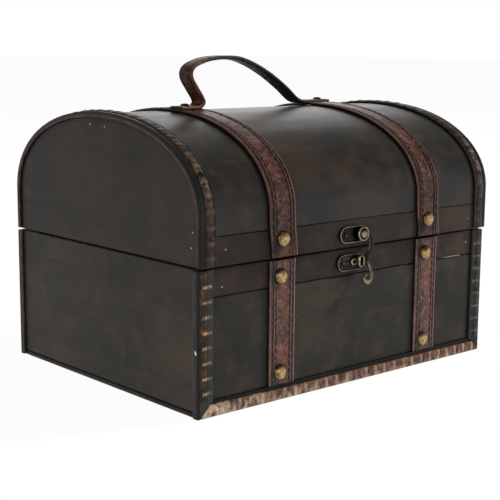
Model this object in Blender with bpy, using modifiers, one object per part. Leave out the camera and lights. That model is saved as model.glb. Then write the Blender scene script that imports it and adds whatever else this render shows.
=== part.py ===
"""A small domed storage chest: stained boards, leather straps and edge trim, a swing-hook latch
and a leather carrying handle. X runs along the chest, the front faces -Y, and Z is up."""

import math

import bmesh
import bpy
from mathutils import Matrix, Vector

MM = 0.001

# Wooden body
BODY_LENGTH = 247 * MM
BASE_DEPTH = 191 * MM
BASE_HEIGHT = 86 * MM
SEAM_GAP = 0.8 * MM
LID_OVERHANG = 1.7 * MM
LID_STRAIGHT = 27 * MM
LID_RISE = 53.7 * MM
ARCH_EXPONENT = 2.11
ARCH_STEPS = 28
FLOOR_THICKNESS = 3 * MM
END_THICKNESS = 8 * MM
WALL_THICKNESS = 7 * MM
SKIN_THICKNESS = 3 * MM
BASE_RAIL_HEIGHT = 16.6 * MM
LID_RAIL_HEIGHT = 17.2 * MM
BOARD_EDGE = 0.6 * MM
SEAT_GAP = 0.3 * MM

# Straps and their dome nails
STRAP_WIDTH = 20.4 * MM
STRAP_THICKNESS = 1.8 * MM
STRAP_SPACING = 127.8 * MM
STRAP_SHIFT = 0.1 * MM
BASE_STRAP_SHIFT = 2 * MM
STRAP_EDGE = 0.5 * MM
STRAP_END_GAP = 0.7 * MM
NAIL_HEAD_RADIUS = 4.8 * MM
NAIL_DOME = 2.7 * MM
NAIL_SHANK_RADIUS = 0.8 * MM
NAIL_SHANK_LENGTH = 7.5 * MM
LID_NAIL_HEIGHT = 11.4 * MM
BASE_NAIL_DROP = 10.1 * MM
LOW_NAIL_HEIGHT = 18 * MM

# Edge trim
TRIM_THICKNESS = 1.2 * MM
TRIM_EDGE = 0.35 * MM
CORNER_TRIM_FACE = 11 * MM
CORNER_TRIM_RETURN = 5.2 * MM
BOTTOM_TRIM_HEIGHT = 9.8 * MM
TRIM_FOOT_GAP = 0.5 * MM
LID_TRIM_FACE = 9.8 * MM
LID_TRIM_LIP = 2 * MM

# Handle: its path is a share of the strap spacing along and of the rise up
HANDLE_WIDTH = 11 * MM
HANDLE_THICKNESS = 2.4 * MM
HANDLE_RISE = 29.7 * MM
HANDLE_SKEW = math.radians(9)
HANDLE_EDGE = 0.7 * MM
HANDLE_STEPS = 2
HANDLE_NAIL_RADIUS = 2.8 * MM
HANDLE_NAIL_DOME = 1.2 * MM
HANDLE_NAIL_INSET = 7.5 * MM
HANDLE_PATH_SHARES = (
    (-0.595, 0.0),
    (-0.52, 0.0),
    (-0.464, 0.007),
    (-0.435, 0.081),
    (-0.448, 0.189),
    (-0.489, 0.391),
    (-0.52, 0.566),
    (-0.524, 0.707),
    (-0.498, 0.828),
    (-0.43, 0.929),
    (-0.352, 0.983),
    (-0.262, 1.0),
    (-0.162, 0.98),
    (-0.059, 0.869),
    (0.035, 0.717),
    (0.131, 0.522),
    (0.23, 0.283),
    (0.318, 0.067),
    (0.381, 0.008),
    (0.454, 0.0),
    (0.599, 0.0),
)

# Latch
PLATE_LENGTH = 23.2 * MM
PLATE_HEIGHT = 10.4 * MM
PLATE_THICKNESS = 1.5 * MM
PLATE_RIM = 1.1 * MM
PLATE_RECESS = 0.7 * MM
PLATE_SHIFT = -4.4 * MM
UPPER_PLATE_LIFT = 8.1 * MM
LOWER_PLATE_DROP = 8.8 * MM
HOOK_THICKNESS = 1.7 * MM
HOOK_EDGE = 0.4 * MM
HOOK_EYE_RADIUS = 4.7 * MM
HOOK_INNER_RADIUS = 6 * MM
HOOK_OUTER_RADIUS = 9 * MM
HOOK_OUTER_SHIFT = 1.3 * MM
HOOK_DROP = 8 * MM
HOOK_TAIL_WIDTH = 3.4 * MM
HOOK_TAIL_SHIFT = 4.5 * MM
HOOK_TAIL_DROP = 21 * MM
HOOK_BALL_RADIUS = 2.5 * MM
HOOK_BALL_SHIFT = 1.2 * MM
HOOK_BALL_DROP = 29 * MM
HOOK_BALL_REACH = 3.9 * MM
HOOK_STEM_RADIUS = 1.25 * MM
HOOK_CURL_RADIUS = 1.1 * MM
HOOK_CURL_RISE_SHARE = 0.7
HOOK_OUTER_SWEEP = (72, -48)
HOOK_INNER_SWEEP = (-66, 68)
RIVET_HEAD_RADIUS = 2.9 * MM
RIVET_DOME = 1.5 * MM
RIVET_RADIUS = 1.3 * MM
KNOB_WIDTH = 5 * MM
KNOB_HEIGHT = 7.7 * MM
KNOB_THICKNESS = 2.6 * MM
KNOB_NECK_RADIUS = 1.3 * MM
KNOB_COLLAR_RADIUS = 2.3 * MM
KNOB_ROUND = 0.7 * MM
KNOB_ROOM = 1 * MM
KNOB_LIFT = 0.6 * MM
LATCH_PIN_RADIUS = 1.4 * MM
LATCH_PIN_DOME = 0.7 * MM
LATCH_PIN_SHANK = 0.7 * MM
LATCH_SHANK_LENGTH = 5 * MM

# Hinges: the width is a share of the room between the strap and the lid's trim
HINGE_WIDTH_SHARE = 0.57
HINGE_SCREW_SPACING_SHARE = 0.59
LEAF_HEIGHT = 13 * MM
LEAF_THICKNESS = 0.9 * MM
KNUCKLE_RADIUS = 2.1 * MM
KNUCKLE_GAP = 0.3 * MM
LID_KNUCKLE_SHARE = 0.36
HINGE_PIN_RADIUS = 1 * MM
PIN_CLEARANCE = 0.15 * MM
HINGE_SCREW_RADIUS = 1.9 * MM
HINGE_SCREW_DOME = 0.9 * MM
HINGE_SCREW_SHANK = 0.8 * MM
HINGE_SCREW_LENGTH = 5.5 * MM

BORE_CLEARANCE = 0.3 * MM
CUT_OVERRUN = 1 * MM
WELD = 0.001 * MM

# Places worked out from the sizes above
base_front = -BASE_DEPTH / 2
base_back = BASE_DEPTH / 2
lid_front = base_front - LID_OVERHANG
lid_back = base_back
lid_bottom = BASE_HEIGHT + SEAM_GAP
lid_depth = lid_back - lid_front
lid_middle = (lid_front + lid_back) / 2
spring_line = lid_bottom + LID_STRAIGHT
lid_step = lid_bottom + LID_RAIL_HEIGHT
wall_length = BODY_LENGTH - 2 * (END_THICKNESS + SEAT_GAP)
floor_top = FLOOR_THICKNESS + SEAT_GAP
base_rail_bottom = BASE_HEIGHT - BASE_RAIL_HEIGHT
strap_top = SEAT_GAP + STRAP_THICKNESS
strap_reach = STRAP_SPACING / 2 + abs(STRAP_SHIFT) + BASE_STRAP_SHIFT + STRAP_WIDTH / 2
trim_reach = BODY_LENGTH / 2 + SEAT_GAP + TRIM_THICKNESS - LID_TRIM_FACE
hinge_offset = (strap_reach + trim_reach) / 2
hinge_width = (trim_reach - strap_reach) * HINGE_WIDTH_SHARE
hinge_y = base_back + SEAT_GAP + KNUCKLE_RADIUS
hinge_z = BASE_HEIGHT + SEAM_GAP / 2
plate_face = SEAT_GAP + PLATE_THICKNESS
hook_back = lid_front - plate_face - SEAT_GAP
hook_front = hook_back - HOOK_THICKNESS
pivot_x = PLATE_SHIFT + (PLATE_LENGTH - PLATE_HEIGHT) / 2
pivot_z = lid_bottom + UPPER_PLATE_LIFT
ball_y = hook_front - HOOK_BALL_REACH + HOOK_THICKNESS / 2
knob_x = pivot_x + HOOK_TAIL_SHIFT - HOOK_TAIL_WIDTH / 2 - KNOB_ROOM - KNOB_WIDTH / 2
lower_plate_z = BASE_HEIGHT - LOWER_PLATE_DROP
knob_z = lower_plate_z + KNOB_LIFT
front_reach = -ball_y + HOOK_BALL_RADIUS
nail_reach = base_back + strap_top + SEAT_GAP + NAIL_DOME
back_reach = max(nail_reach, hinge_y + KNUCKLE_RADIUS)

COLOURS = {
    "stained_wood": ((0.028, 0.024, 0.018), 0.45, 0.0),
    "strap_leather": ((0.075, 0.028, 0.018), 0.5, 0.0),
    "trim_leather": ((0.13, 0.07, 0.035), 0.5, 0.0),
    "nail_brass": ((0.42, 0.3, 0.14), 0.35, 1.0),
    "latch_bronze": ((0.2, 0.16, 0.11), 0.38, 1.0),
    "hinge_brass": ((0.36, 0.27, 0.13), 0.4, 1.0),
}


def clear_scene():
    for thing in list(bpy.data.objects):
        bpy.data.objects.remove(thing, do_unlink=True)


def new_collection(name):
    collection = bpy.data.collections.new(name)
    bpy.context.scene.collection.children.link(collection)
    return collection


def make_materials():
    made = {}
    for name, (colour, roughness, metallic) in COLOURS.items():
        material = bpy.data.materials.new(name)
        material.use_nodes = True
        shader = material.node_tree.nodes["Principled BSDF"]
        shader.inputs["Base Color"].default_value = (*colour, 1)
        shader.inputs["Roughness"].default_value = roughness
        shader.inputs["Metallic"].default_value = metallic
        material.diffuse_color = (*colour, 1)
        made[name] = material
    return made


clear_scene()
parts = new_collection("storage_chest")
cutters = new_collection("cutters")
cutters.hide_render = True
materials = make_materials()


def make_axis(name, place, parent=None):
    """An empty on a joint's axis, which carries the pieces that turn about it."""
    axis = bpy.data.objects.new(name, None)
    axis.empty_display_size = NAIL_HEAD_RADIUS
    parts.objects.link(axis)
    axis.location = place
    axis["world_place"] = place
    if parent:
        axis.parent = parent
        axis.location = Vector(place) - Vector(parent["world_place"])
    return axis


chest = make_axis("chest", (0, 0, 0))
lid_axis = make_axis("lid_axis", (0, hinge_y, hinge_z), chest)
hook_axis = make_axis("hook_axis", (pivot_x, hook_front, pivot_z), lid_axis)


def add_part(thing, name, material, carrier):
    """Names the object, gives it its material and hangs it on its carrier without moving it."""
    thing.name = name
    thing.data.name = name
    thing.data.materials.clear()
    thing.data.materials.append(materials[material])
    for collection in list(thing.users_collection):
        collection.objects.unlink(thing)
    parts.objects.link(thing)
    thing.parent = carrier
    thing.matrix_parent_inverse = Matrix.Translation(-Vector(carrier["world_place"]))
    return thing


def shade_round(thing, angle=math.radians(40)):
    thing.data.shade_smooth()
    thing.data.set_sharp_from_angle(angle=angle)


def box_mesh(name, low, high):
    """A block between two corners, its own origin at its middle."""
    low, high = Vector(low), Vector(high)
    mesh = bpy.data.meshes.new(name)
    shape = bmesh.new()
    bmesh.ops.create_cube(shape, size=1)
    bmesh.ops.scale(shape, vec=high - low, verts=shape.verts)
    shape.to_mesh(mesh)
    shape.free()
    thing = bpy.data.objects.new(name, mesh)
    thing.location = (low + high) / 2
    parts.objects.link(thing)
    return thing


def bevel(thing, width):
    modifier = thing.modifiers.new("edges", "BEVEL")
    modifier.width = width
    modifier.segments = 1
    modifier.limit_method = "ANGLE"


def board(name, low, high, carrier, material="stained_wood"):
    thing = box_mesh(name, low, high)
    bevel(thing, BOARD_EDGE)
    return add_part(thing, name, material, carrier)


# How a flat outline's own X, Y and Z lie in the chest's frame
FROM_THE_SIDE = (math.pi / 2, 0, math.pi / 2)
FROM_THE_FRONT = (math.pi / 2, 0, 0)
FROM_ABOVE = (0, 0, 0)


def outline_solid(name, outlines, thickness, edge, turn, place, rounding=0):
    """A solid from closed flat outlines, with eased edges, converted to a mesh."""
    curve = bpy.data.curves.new(name, "CURVE")
    curve.dimensions = "2D"
    curve.fill_mode = "BOTH"
    curve.extrude = thickness / 2 - edge
    curve.bevel_depth = edge
    curve.bevel_resolution = rounding
    curve.offset = -edge
    for points in outlines:
        spline = curve.splines.new("POLY")
        spline.points.add(len(points) - 1)
        for target, (x, y) in zip(spline.points, points):
            target.co = (x, y, 0, 1)
        spline.use_cyclic_u = True
    return to_mesh_object(bpy.data.objects.new(name, curve), turn, place)


def to_mesh_object(drawn, turn, place):
    """The curve as a closed mesh object, standing where the curve stood."""
    parts.objects.link(drawn)
    drawn.rotation_euler = turn
    drawn.location = place
    bpy.context.view_layer.update()
    graph = bpy.context.evaluated_depsgraph_get()
    mesh = bpy.data.meshes.new_from_object(drawn.evaluated_get(graph))
    shape = bmesh.new()
    shape.from_mesh(mesh)
    bmesh.ops.remove_doubles(shape, verts=shape.verts, dist=WELD)
    bmesh.ops.dissolve_degenerate(shape, edges=shape.edges, dist=WELD)
    bmesh.ops.recalc_face_normals(shape, faces=shape.faces)
    shape.to_mesh(mesh)
    shape.free()
    made = bpy.data.objects.new(drawn.name + "_mesh", mesh)
    made.matrix_world = drawn.matrix_world
    curve = drawn.data
    bpy.data.objects.remove(drawn, do_unlink=True)
    bpy.data.curves.remove(curve)
    parts.objects.link(made)
    return made


def boolean(thing, other, operation):
    modifier = thing.modifiers.new(operation.lower(), "BOOLEAN")
    modifier.operation = operation
    modifier.solver = "EXACT"
    modifier.object = other


def as_cutter(thing):
    for collection in list(thing.users_collection):
        collection.objects.unlink(thing)
    cutters.objects.link(thing)
    thing.hide_render = True
    thing.display_type = "WIRE"
    thing.parent = chest
    return thing


def join_to(thing, *others):
    """Unites the others with the thing, as one body."""
    for other in others:
        boolean(thing, as_cutter(other), "UNION")
    return thing


def rod(name, start, end, radius, sides=24, end_radius=None):
    """A straight round bar, or a cone, between two points."""
    start, end = Vector(start), Vector(end)
    mesh = bpy.data.meshes.new(name)
    shape = bmesh.new()
    bmesh.ops.create_cone(
        shape,
        cap_ends=True,
        segments=sides,
        radius1=radius,
        radius2=radius if end_radius is None else end_radius,
        depth=(end - start).length,
    )
    shape.to_mesh(mesh)
    shape.free()
    thing = bpy.data.objects.new(name, mesh)
    thing.rotation_mode = "QUATERNION"
    thing.rotation_quaternion = (end - start).to_track_quat("Z", "Y")
    thing.location = (start + end) / 2
    parts.objects.link(thing)
    return thing


def bore(name, start, end, radius, *pieces, sides=8):
    """Cuts one round hole through each of the pieces."""
    along = (Vector(end) - Vector(start)).normalized() * CUT_OVERRUN
    cutter = as_cutter(rod(name + "_bore", Vector(start) - along, end, radius, sides))
    for piece in pieces:
        boolean(piece, cutter, "DIFFERENCE")


def turned(name, profile, place, outward, sides):
    """A turned piece: its profile of radius and height runs down from the top of its axis."""
    mesh = bpy.data.meshes.new(name)
    corners = [(radius, 0, height) for radius, height in profile]
    edges = [(i, i + 1) for i in range(len(profile) - 1)]
    mesh.from_pydata(corners, edges, [])
    thing = bpy.data.objects.new(name, mesh)
    parts.objects.link(thing)
    screw = thing.modifiers.new("turned", "SCREW")
    screw.steps = screw.render_steps = sides
    screw.use_merge_vertices = True
    screw.merge_threshold = WELD
    screw.use_smooth_shade = True
    thing.rotation_mode = "QUATERNION"
    thing.rotation_quaternion = Vector(outward).to_track_quat("Z", "Y")
    thing.location = place
    return thing


def dome_fastener(name, seat, outward, head, dome, shank, length, material, carrier, pieces, sides=14):
    """A round-headed nail or screw, standing a seat gap off the face, and its holes."""
    outward = Vector(outward)
    steps = 3
    profile = [
        (head * math.sin(angle), dome * math.cos(angle))
        for angle in (math.pi / 2 * step / steps for step in range(steps + 1))
    ]
    profile += [(shank, 0), (shank, -length + 2 * shank), (0, -length)]
    place = Vector(seat) + outward * SEAT_GAP
    thing = turned(name, profile, place, outward, sides)
    bore(name, Vector(seat), Vector(seat) - outward * (length + SEAT_GAP), shank + BORE_CLEARANCE, *pieces)
    return add_part(thing, name, material, carrier)


def superellipse(angle, half_span, rise):
    """A point of the arch, from the front spring (angle 0) to the back one (angle pi)."""
    power = 2 / ARCH_EXPONENT
    across = -math.copysign(abs(math.cos(angle)) ** power, math.cos(angle)) * half_span
    return across, abs(math.sin(angle)) ** power * rise


def arch_line(offset, low):
    """The lid's outline as (y, z), moved outward by the offset and run down to the height low."""
    half_span = lid_depth / 2 + offset
    rise = LID_RISE + offset
    arch = []
    for step in range(ARCH_STEPS + 1):
        across, up = superellipse(math.pi * step / ARCH_STEPS, half_span, rise)
        arch.append((lid_middle + across, spring_line + up))
    return [(arch[0][0], low), *arch, (arch[-1][0], low)]


def arch_band(inner, outer, low):
    """A closed band between two offsets of the lid's outline."""
    return arch_line(outer, low) + arch_line(inner, low)[::-1]


def base_boards():
    half = BODY_LENGTH / 2
    inner = half - END_THICKNESS
    board("base_floor", (-half, base_front, 0), (half, base_back, FLOOR_THICKNESS), chest)
    for name, low, high in (("base_left_end", -half, -inner), ("base_right_end", inner, half)):
        board(name, (low, base_front, floor_top), (high, base_back, BASE_HEIGHT), chest)
    walls = {}
    for side, near, far in (
        ("front", base_front, base_front + WALL_THICKNESS),
        ("back", base_back - WALL_THICKNESS, base_back),
    ):
        for piece, low, high in (
            ("panel", floor_top, base_rail_bottom - SEAT_GAP),
            ("rail", base_rail_bottom, BASE_HEIGHT),
        ):
            name = f"base_{side}_{piece}"
            walls[side, piece] = board(
                name, (-wall_length / 2, near, low), (wall_length / 2, far, high), chest
            )
    return walls


def lid_boards():
    """The arched ends, stepped for the skin that bends over them, with a rail at front and back."""
    half = BODY_LENGTH / 2
    inset = -SKIN_THICKNESS - SEAT_GAP
    arch = arch_line(inset, lid_step)
    outline = [(lid_front, lid_bottom), (lid_front, lid_step), *arch, (lid_back, lid_step)]
    outline.append((lid_back, lid_bottom))
    for name, side in (("lid_left_end", -1), ("lid_right_end", 1)):
        middle = side * (half - END_THICKNESS / 2)
        thing = outline_solid(
            name, [outline], END_THICKNESS, BOARD_EDGE, FROM_THE_SIDE, (middle, 0, 0)
        )
        add_part(thing, name, "stained_wood", lid_axis)
    rails = {}
    for side, near, far in (
        ("front", lid_front, lid_front + WALL_THICKNESS),
        ("back", lid_back - WALL_THICKNESS, lid_back),
    ):
        low, high = (-wall_length / 2, near, lid_bottom), (wall_length / 2, far, lid_step)
        rails[side] = board(f"lid_{side}_rail", low, high, lid_axis)
    band = arch_band(-SKIN_THICKNESS, 0, lid_step + SEAT_GAP)
    skin = outline_solid("lid_skin", [band], BODY_LENGTH, BOARD_EDGE / 2, FROM_THE_SIDE, (0, 0, 0))
    shade_round(skin)
    return rails, add_part(skin, "lid_skin", "stained_wood", lid_axis)


def lid_trim():
    """A leather strip over each end of the arch, folded a little way onto the end board."""
    half = BODY_LENGTH / 2
    low = lid_bottom + TRIM_FOOT_GAP
    outer = SEAT_GAP + TRIM_THICKNESS
    for name, side in (("lid_left_trim", -1), ("lid_right_trim", 1)):
        far = half + outer
        middle = side * (far - LID_TRIM_FACE / 2)
        cover = arch_band(SEAT_GAP, outer, low)
        strip = outline_solid(
            name, [cover], LID_TRIM_FACE, TRIM_EDGE, FROM_THE_SIDE, (middle, 0, 0)
        )
        fold = arch_band(-LID_TRIM_LIP, outer - TRIM_EDGE, low)
        lip_place = (side * (far - TRIM_THICKNESS / 2), 0, 0)
        lip = outline_solid(name + "_lip", [fold], TRIM_THICKNESS, TRIM_EDGE, FROM_THE_SIDE, lip_place)
        join_to(strip, lip)
        add_part(strip, name, "trim_leather", lid_axis)


def base_trim():
    """Folded strips on the two front corners, mitred to a strip along the bottom."""
    half = BODY_LENGTH / 2
    outer = SEAT_GAP + TRIM_THICKNESS
    edge = half + outer
    top = BASE_HEIGHT - TRIM_FOOT_GAP
    low = TRIM_FOOT_GAP
    face_y = base_front - outer + TRIM_THICKNESS / 2
    mitre_x = edge - CORNER_TRIM_FACE
    mitre_z = low + BOTTOM_TRIM_HEIGHT
    for name, side in (("base_left_corner_trim", -1), ("base_right_corner_trim", 1)):
        face = [
            (side * edge, low),
            (side * edge, top),
            (side * mitre_x, top),
            (side * mitre_x, mitre_z),
        ]
        strip = outline_solid(
            name, [face[::side]], TRIM_THICKNESS, TRIM_EDGE, FROM_THE_FRONT, (0, face_y, 0)
        )
        near, far = base_front - outer + TRIM_EDGE, base_front - outer + CORNER_TRIM_RETURN
        inner_x, outer_x = side * (half + SEAT_GAP), side * edge
        fold = box_mesh(
            name + "_fold",
            (min(inner_x, outer_x), near, low + TRIM_EDGE),
            (max(inner_x, outer_x), far, top - TRIM_EDGE),
        )
        join_to(strip, fold)
        add_part(strip, name, "trim_leather", chest)
    gap = SEAT_GAP * math.sqrt(2)
    slope = BOTTOM_TRIM_HEIGHT / CORNER_TRIM_FACE
    clipped_z = low + (edge - gap - half) * slope
    right_end = [(half, low), (half, clipped_z), (mitre_x - gap, mitre_z)]
    run = right_end + [(-x, z) for x, z in right_end[::-1]]
    strip = outline_solid(
        "base_bottom_trim", [run], TRIM_THICKNESS, TRIM_EDGE, FROM_THE_FRONT, (0, face_y, 0)
    )
    add_part(strip, "base_bottom_trim", "trim_leather", chest)


def strap_places():
    return (
        ("left", STRAP_SHIFT - STRAP_SPACING / 2),
        ("right", STRAP_SHIFT + STRAP_SPACING / 2),
    )


def strap_nail(name, place, outward, carrier, pieces):
    return dome_fastener(
        name,
        place,
        outward,
        NAIL_HEAD_RADIUS,
        NAIL_DOME,
        NAIL_SHANK_RADIUS,
        NAIL_SHANK_LENGTH,
        "nail_brass",
        carrier,
        pieces,
    )


def straps(walls, rails):
    """Two straps over the lid and four on the base, cut at the seam, each held by dome nails.
    The base ones sit a little to the right of the nails' line."""
    lid_straps = {}
    foot = TRIM_FOOT_GAP + BOTTOM_TRIM_HEIGHT + SEAT_GAP
    for label, middle in strap_places():
        low = lid_bottom + STRAP_END_GAP
        strap_left = middle + BASE_STRAP_SHIFT - STRAP_WIDTH / 2
        band = arch_band(SEAT_GAP, strap_top, low)
        over_name = f"lid_{label}_strap"
        over = outline_solid(
            over_name, [band], STRAP_WIDTH, STRAP_EDGE, FROM_THE_SIDE, (middle, 0, 0)
        )
        shade_round(over)
        lid_straps[label] = add_part(over, over_name, "strap_leather", lid_axis)
        for side, outward, base_face, lid_face in (
            ("front", -1, base_front, lid_front),
            ("back", 1, base_back, lid_back),
        ):
            inner = base_face + outward * SEAT_GAP
            outer = base_face + outward * strap_top
            name = f"base_{label}_strap_{side}"
            piece = box_mesh(
                name,
                (strap_left, min(inner, outer), foot),
                (strap_left + STRAP_WIDTH, max(inner, outer), BASE_HEIGHT - STRAP_END_GAP),
            )
            bevel(piece, STRAP_EDGE)
            add_part(piece, name, "strap_leather", chest)
            direction = (0, outward, 0)
            for spot, height, wall in (
                ("upper", BASE_HEIGHT - BASE_NAIL_DROP, walls[side, "rail"]),
                ("lower", LOW_NAIL_HEIGHT, walls[side, "panel"]),
            ):
                nail_name = f"base_{label}_{side}_{spot}_nail"
                strap_nail(nail_name, (middle, outer, height), direction, chest, (piece, wall))
            lid_outer = lid_face + outward * strap_top
            place = (middle, lid_outer, lid_bottom + LID_NAIL_HEIGHT)
            strap_nail(f"lid_{label}_{side}_nail", place, direction, lid_axis, (over, rails[side]))
    return lid_straps


def smooth_path(points, steps):
    """Points along a Catmull-Rom curve through the given ones."""
    ends = [2 * points[0] - points[1], *points, 2 * points[-1] - points[-2]]
    path = []
    for before, start, end, after in zip(ends, ends[1:], ends[2:], ends[3:]):
        for step in range(steps):
            t = step / steps
            path.append(
                0.5
                * (
                    2 * start
                    + (end - before) * t
                    + (2 * before - 5 * start + 4 * end - after) * t**2
                    + (3 * start - before - 3 * end + after) * t**3
                )
            )
    return [*path, points[-1]]


def ribbon(path, thickness):
    """The closed outline of a ribbon of even thickness along a flat path."""
    upper, lower = [], []
    for i, point in enumerate(path):
        ahead = path[min(i + 1, len(path) - 1)] - path[max(i - 1, 0)]
        across = Vector((-ahead.y, ahead.x)).normalized() * thickness / 2
        upper.append(tuple(point + across))
        lower.append(tuple(point - across))
    return upper + lower[::-1]


def handle(lid_straps, skin):
    """A stitched leather loop between the two straps, nailed down flat at its feet."""
    tab_z = spring_line + LID_RISE + strap_top + SEAT_GAP + HANDLE_THICKNESS / 2
    points = [Vector((x * STRAP_SPACING, z * HANDLE_RISE)) for x, z in HANDLE_PATH_SHARES]
    outline = ribbon(smooth_path(points, HANDLE_STEPS), HANDLE_THICKNESS)
    turn = (math.pi / 2, 0, HANDLE_SKEW)
    place = (STRAP_SHIFT, lid_middle, tab_z)
    grip = outline_solid("carry_handle", [outline], HANDLE_WIDTH, HANDLE_EDGE, turn, place)
    shade_round(grip)
    add_part(grip, "carry_handle", "strap_leather", lid_axis)
    for label, end, inward in (("left", points[0].x, 1), ("right", points[-1].x, -1)):
        along = end + inward * HANDLE_NAIL_INSET
        seat = Vector(place) + Vector(
            (along * math.cos(HANDLE_SKEW), along * math.sin(HANDLE_SKEW), HANDLE_THICKNESS / 2)
        )
        dome_fastener(
            f"handle_{label}_nail",
            seat,
            (0, 0, 1),
            HANDLE_NAIL_RADIUS,
            HANDLE_NAIL_DOME,
            NAIL_SHANK_RADIUS,
            NAIL_SHANK_LENGTH,
            "nail_brass",
            lid_axis,
            (grip, lid_straps[label], skin),
        )


def obround(length, height, steps=10):
    """A slot-shaped outline about the origin."""
    radius = height / 2
    reach = length / 2 - radius
    right = [-math.pi / 2 + math.pi * step / steps for step in range(steps + 1)]
    half = [(reach + radius * math.cos(a), radius * math.sin(a)) for a in right]
    return half + [(-x, -y) for x, y in half]


def latch_plate(name, middle_z, face, carrier):
    """A slot-shaped plate with a raised rim round a shallow recess."""
    place = (PLATE_SHIFT, face - SEAT_GAP - PLATE_THICKNESS / 2, middle_z)
    plate = outline_solid(
        name,
        [obround(PLATE_LENGTH, PLATE_HEIGHT)],
        PLATE_THICKNESS,
        HOOK_EDGE,
        FROM_THE_FRONT,
        place,
        rounding=1,
    )
    recess = outline_solid(
        name + "_recess",
        [obround(PLATE_LENGTH - 2 * PLATE_RIM, PLATE_HEIGHT - 2 * PLATE_RIM)],
        PLATE_RECESS + CUT_OVERRUN,
        HOOK_EDGE,
        FROM_THE_FRONT,
        (PLATE_SHIFT, face - plate_face - CUT_OVERRUN / 2 + PLATE_RECESS / 2, middle_z),
    )
    boolean(plate, as_cutter(recess), "DIFFERENCE")
    return add_part(plate, name, "latch_bronze", carrier)


def latch_pin(name, middle_z, face, carrier, plate, rail):
    pin_x = PLATE_SHIFT - (PLATE_LENGTH - PLATE_HEIGHT) / 2
    seat = (pin_x, face - plate_face + PLATE_RECESS, middle_z)
    dome_fastener(
        name,
        seat,
        (0, -1, 0),
        LATCH_PIN_RADIUS,
        LATCH_PIN_DOME,
        LATCH_PIN_SHANK,
        LATCH_SHANK_LENGTH,
        "latch_bronze",
        carrier,
        (plate, rail),
        sides=12,
    )


def latch_rivet(plate, rail):
    """The pivot: a dome head in front of the hook's eye, its shank through plate and rail."""
    length = HOOK_THICKNESS + SEAT_GAP + plate_face + SEAT_GAP + LATCH_SHANK_LENGTH
    dome_fastener(
        "latch_pivot_rivet",
        (pivot_x, hook_front, pivot_z),
        (0, -1, 0),
        RIVET_HEAD_RADIUS,
        RIVET_DOME,
        RIVET_RADIUS,
        length,
        "latch_bronze",
        lid_axis,
        (plate, rail),
        sides=20,
    )


def arc(middle, radius, start, end, steps):
    """Points on a circle from one angle to another, in degrees."""
    angles = [math.radians(start + (end - start) * step / steps) for step in range(steps + 1)]
    return [(middle[0] + radius * math.cos(a), middle[1] + radius * math.sin(a)) for a in angles]


def latch_hook():
    """The swing arm: a ring, a crescent that bows to the right, and a tail that ends in a ball."""
    crescent = (0, -HOOK_DROP)
    outer_middle = (HOOK_OUTER_SHIFT, -HOOK_DROP + HOOK_OUTER_SHIFT)
    outline = arc(outer_middle, HOOK_OUTER_RADIUS, *HOOK_OUTER_SWEEP, 14)
    tail_right = HOOK_TAIL_SHIFT + HOOK_TAIL_WIDTH / 2
    tail_left = HOOK_TAIL_SHIFT - HOOK_TAIL_WIDTH / 2
    outline += [(tail_right, -HOOK_TAIL_DROP), (tail_left, -HOOK_TAIL_DROP)]
    outline += [(tail_left, -HOOK_TAIL_DROP + HOOK_TAIL_WIDTH)]
    outline += arc(crescent, HOOK_INNER_RADIUS, *HOOK_INNER_SWEEP, 14)
    plane_y = (hook_back + hook_front) / 2
    place = (pivot_x, plane_y, pivot_z)
    arm = outline_solid(
        "latch_hook", [outline[::-1]], HOOK_THICKNESS, HOOK_EDGE, FROM_THE_FRONT, place
    )
    ring = arc((0, 0), HOOK_EYE_RADIUS, 0, 345, 23)
    eye = outline_solid("latch_hook_eye", [ring], HOOK_THICKNESS, HOOK_EDGE, FROM_THE_FRONT, place)
    tail_top = Vector((pivot_x + HOOK_TAIL_SHIFT, plane_y, pivot_z - HOOK_TAIL_DROP + HOOK_STEM_RADIUS))
    ball_place = Vector((pivot_x + HOOK_BALL_SHIFT, ball_y, pivot_z - HOOK_BALL_DROP))
    bend = Vector((tail_top.x, (plane_y + ball_y) / 2, (tail_top.z + ball_place.z) / 2))
    stem = tube("latch_hook_stem", smooth_path([tail_top, bend, ball_place], 4), HOOK_STEM_RADIUS)
    ball = sphere("latch_hook_ball", ball_place, HOOK_BALL_RADIUS)
    curl_rise = HOOK_BALL_RADIUS * HOOK_CURL_RISE_SHARE
    curl_place = ball_place + Vector((-HOOK_BALL_RADIUS, 0, curl_rise))
    curl = sphere("latch_hook_curl", curl_place, HOOK_CURL_RADIUS)
    join_to(arm, eye, stem, ball, curl)
    middle = (pivot_x, hook_front - CUT_OVERRUN, pivot_z)
    behind = (pivot_x, hook_back + CUT_OVERRUN, pivot_z)
    bore("latch_hook_eye", middle, behind, RIVET_RADIUS + BORE_CLEARANCE, arm, sides=20)
    return add_part(arm, "latch_hook", "latch_bronze", hook_axis)


def tube(name, path, radius):
    """A round bar along a path in space."""
    curve = bpy.data.curves.new(name, "CURVE")
    curve.dimensions = "3D"
    curve.bevel_depth = radius
    curve.bevel_resolution = 2
    curve.use_fill_caps = True
    spline = curve.splines.new("POLY")
    spline.points.add(len(path) - 1)
    for target, point in zip(spline.points, path):
        target.co = (*point, 1)
    return to_mesh_object(bpy.data.objects.new(name, curve), FROM_ABOVE, (0, 0, 0))


def sphere(name, place, radius):
    mesh = bpy.data.meshes.new(name)
    shape = bmesh.new()
    bmesh.ops.create_uvsphere(shape, u_segments=16, v_segments=10, radius=radius)
    shape.to_mesh(mesh)
    shape.free()
    thing = bpy.data.objects.new(name, mesh)
    thing.location = place
    parts.objects.link(thing)
    return thing


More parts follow.
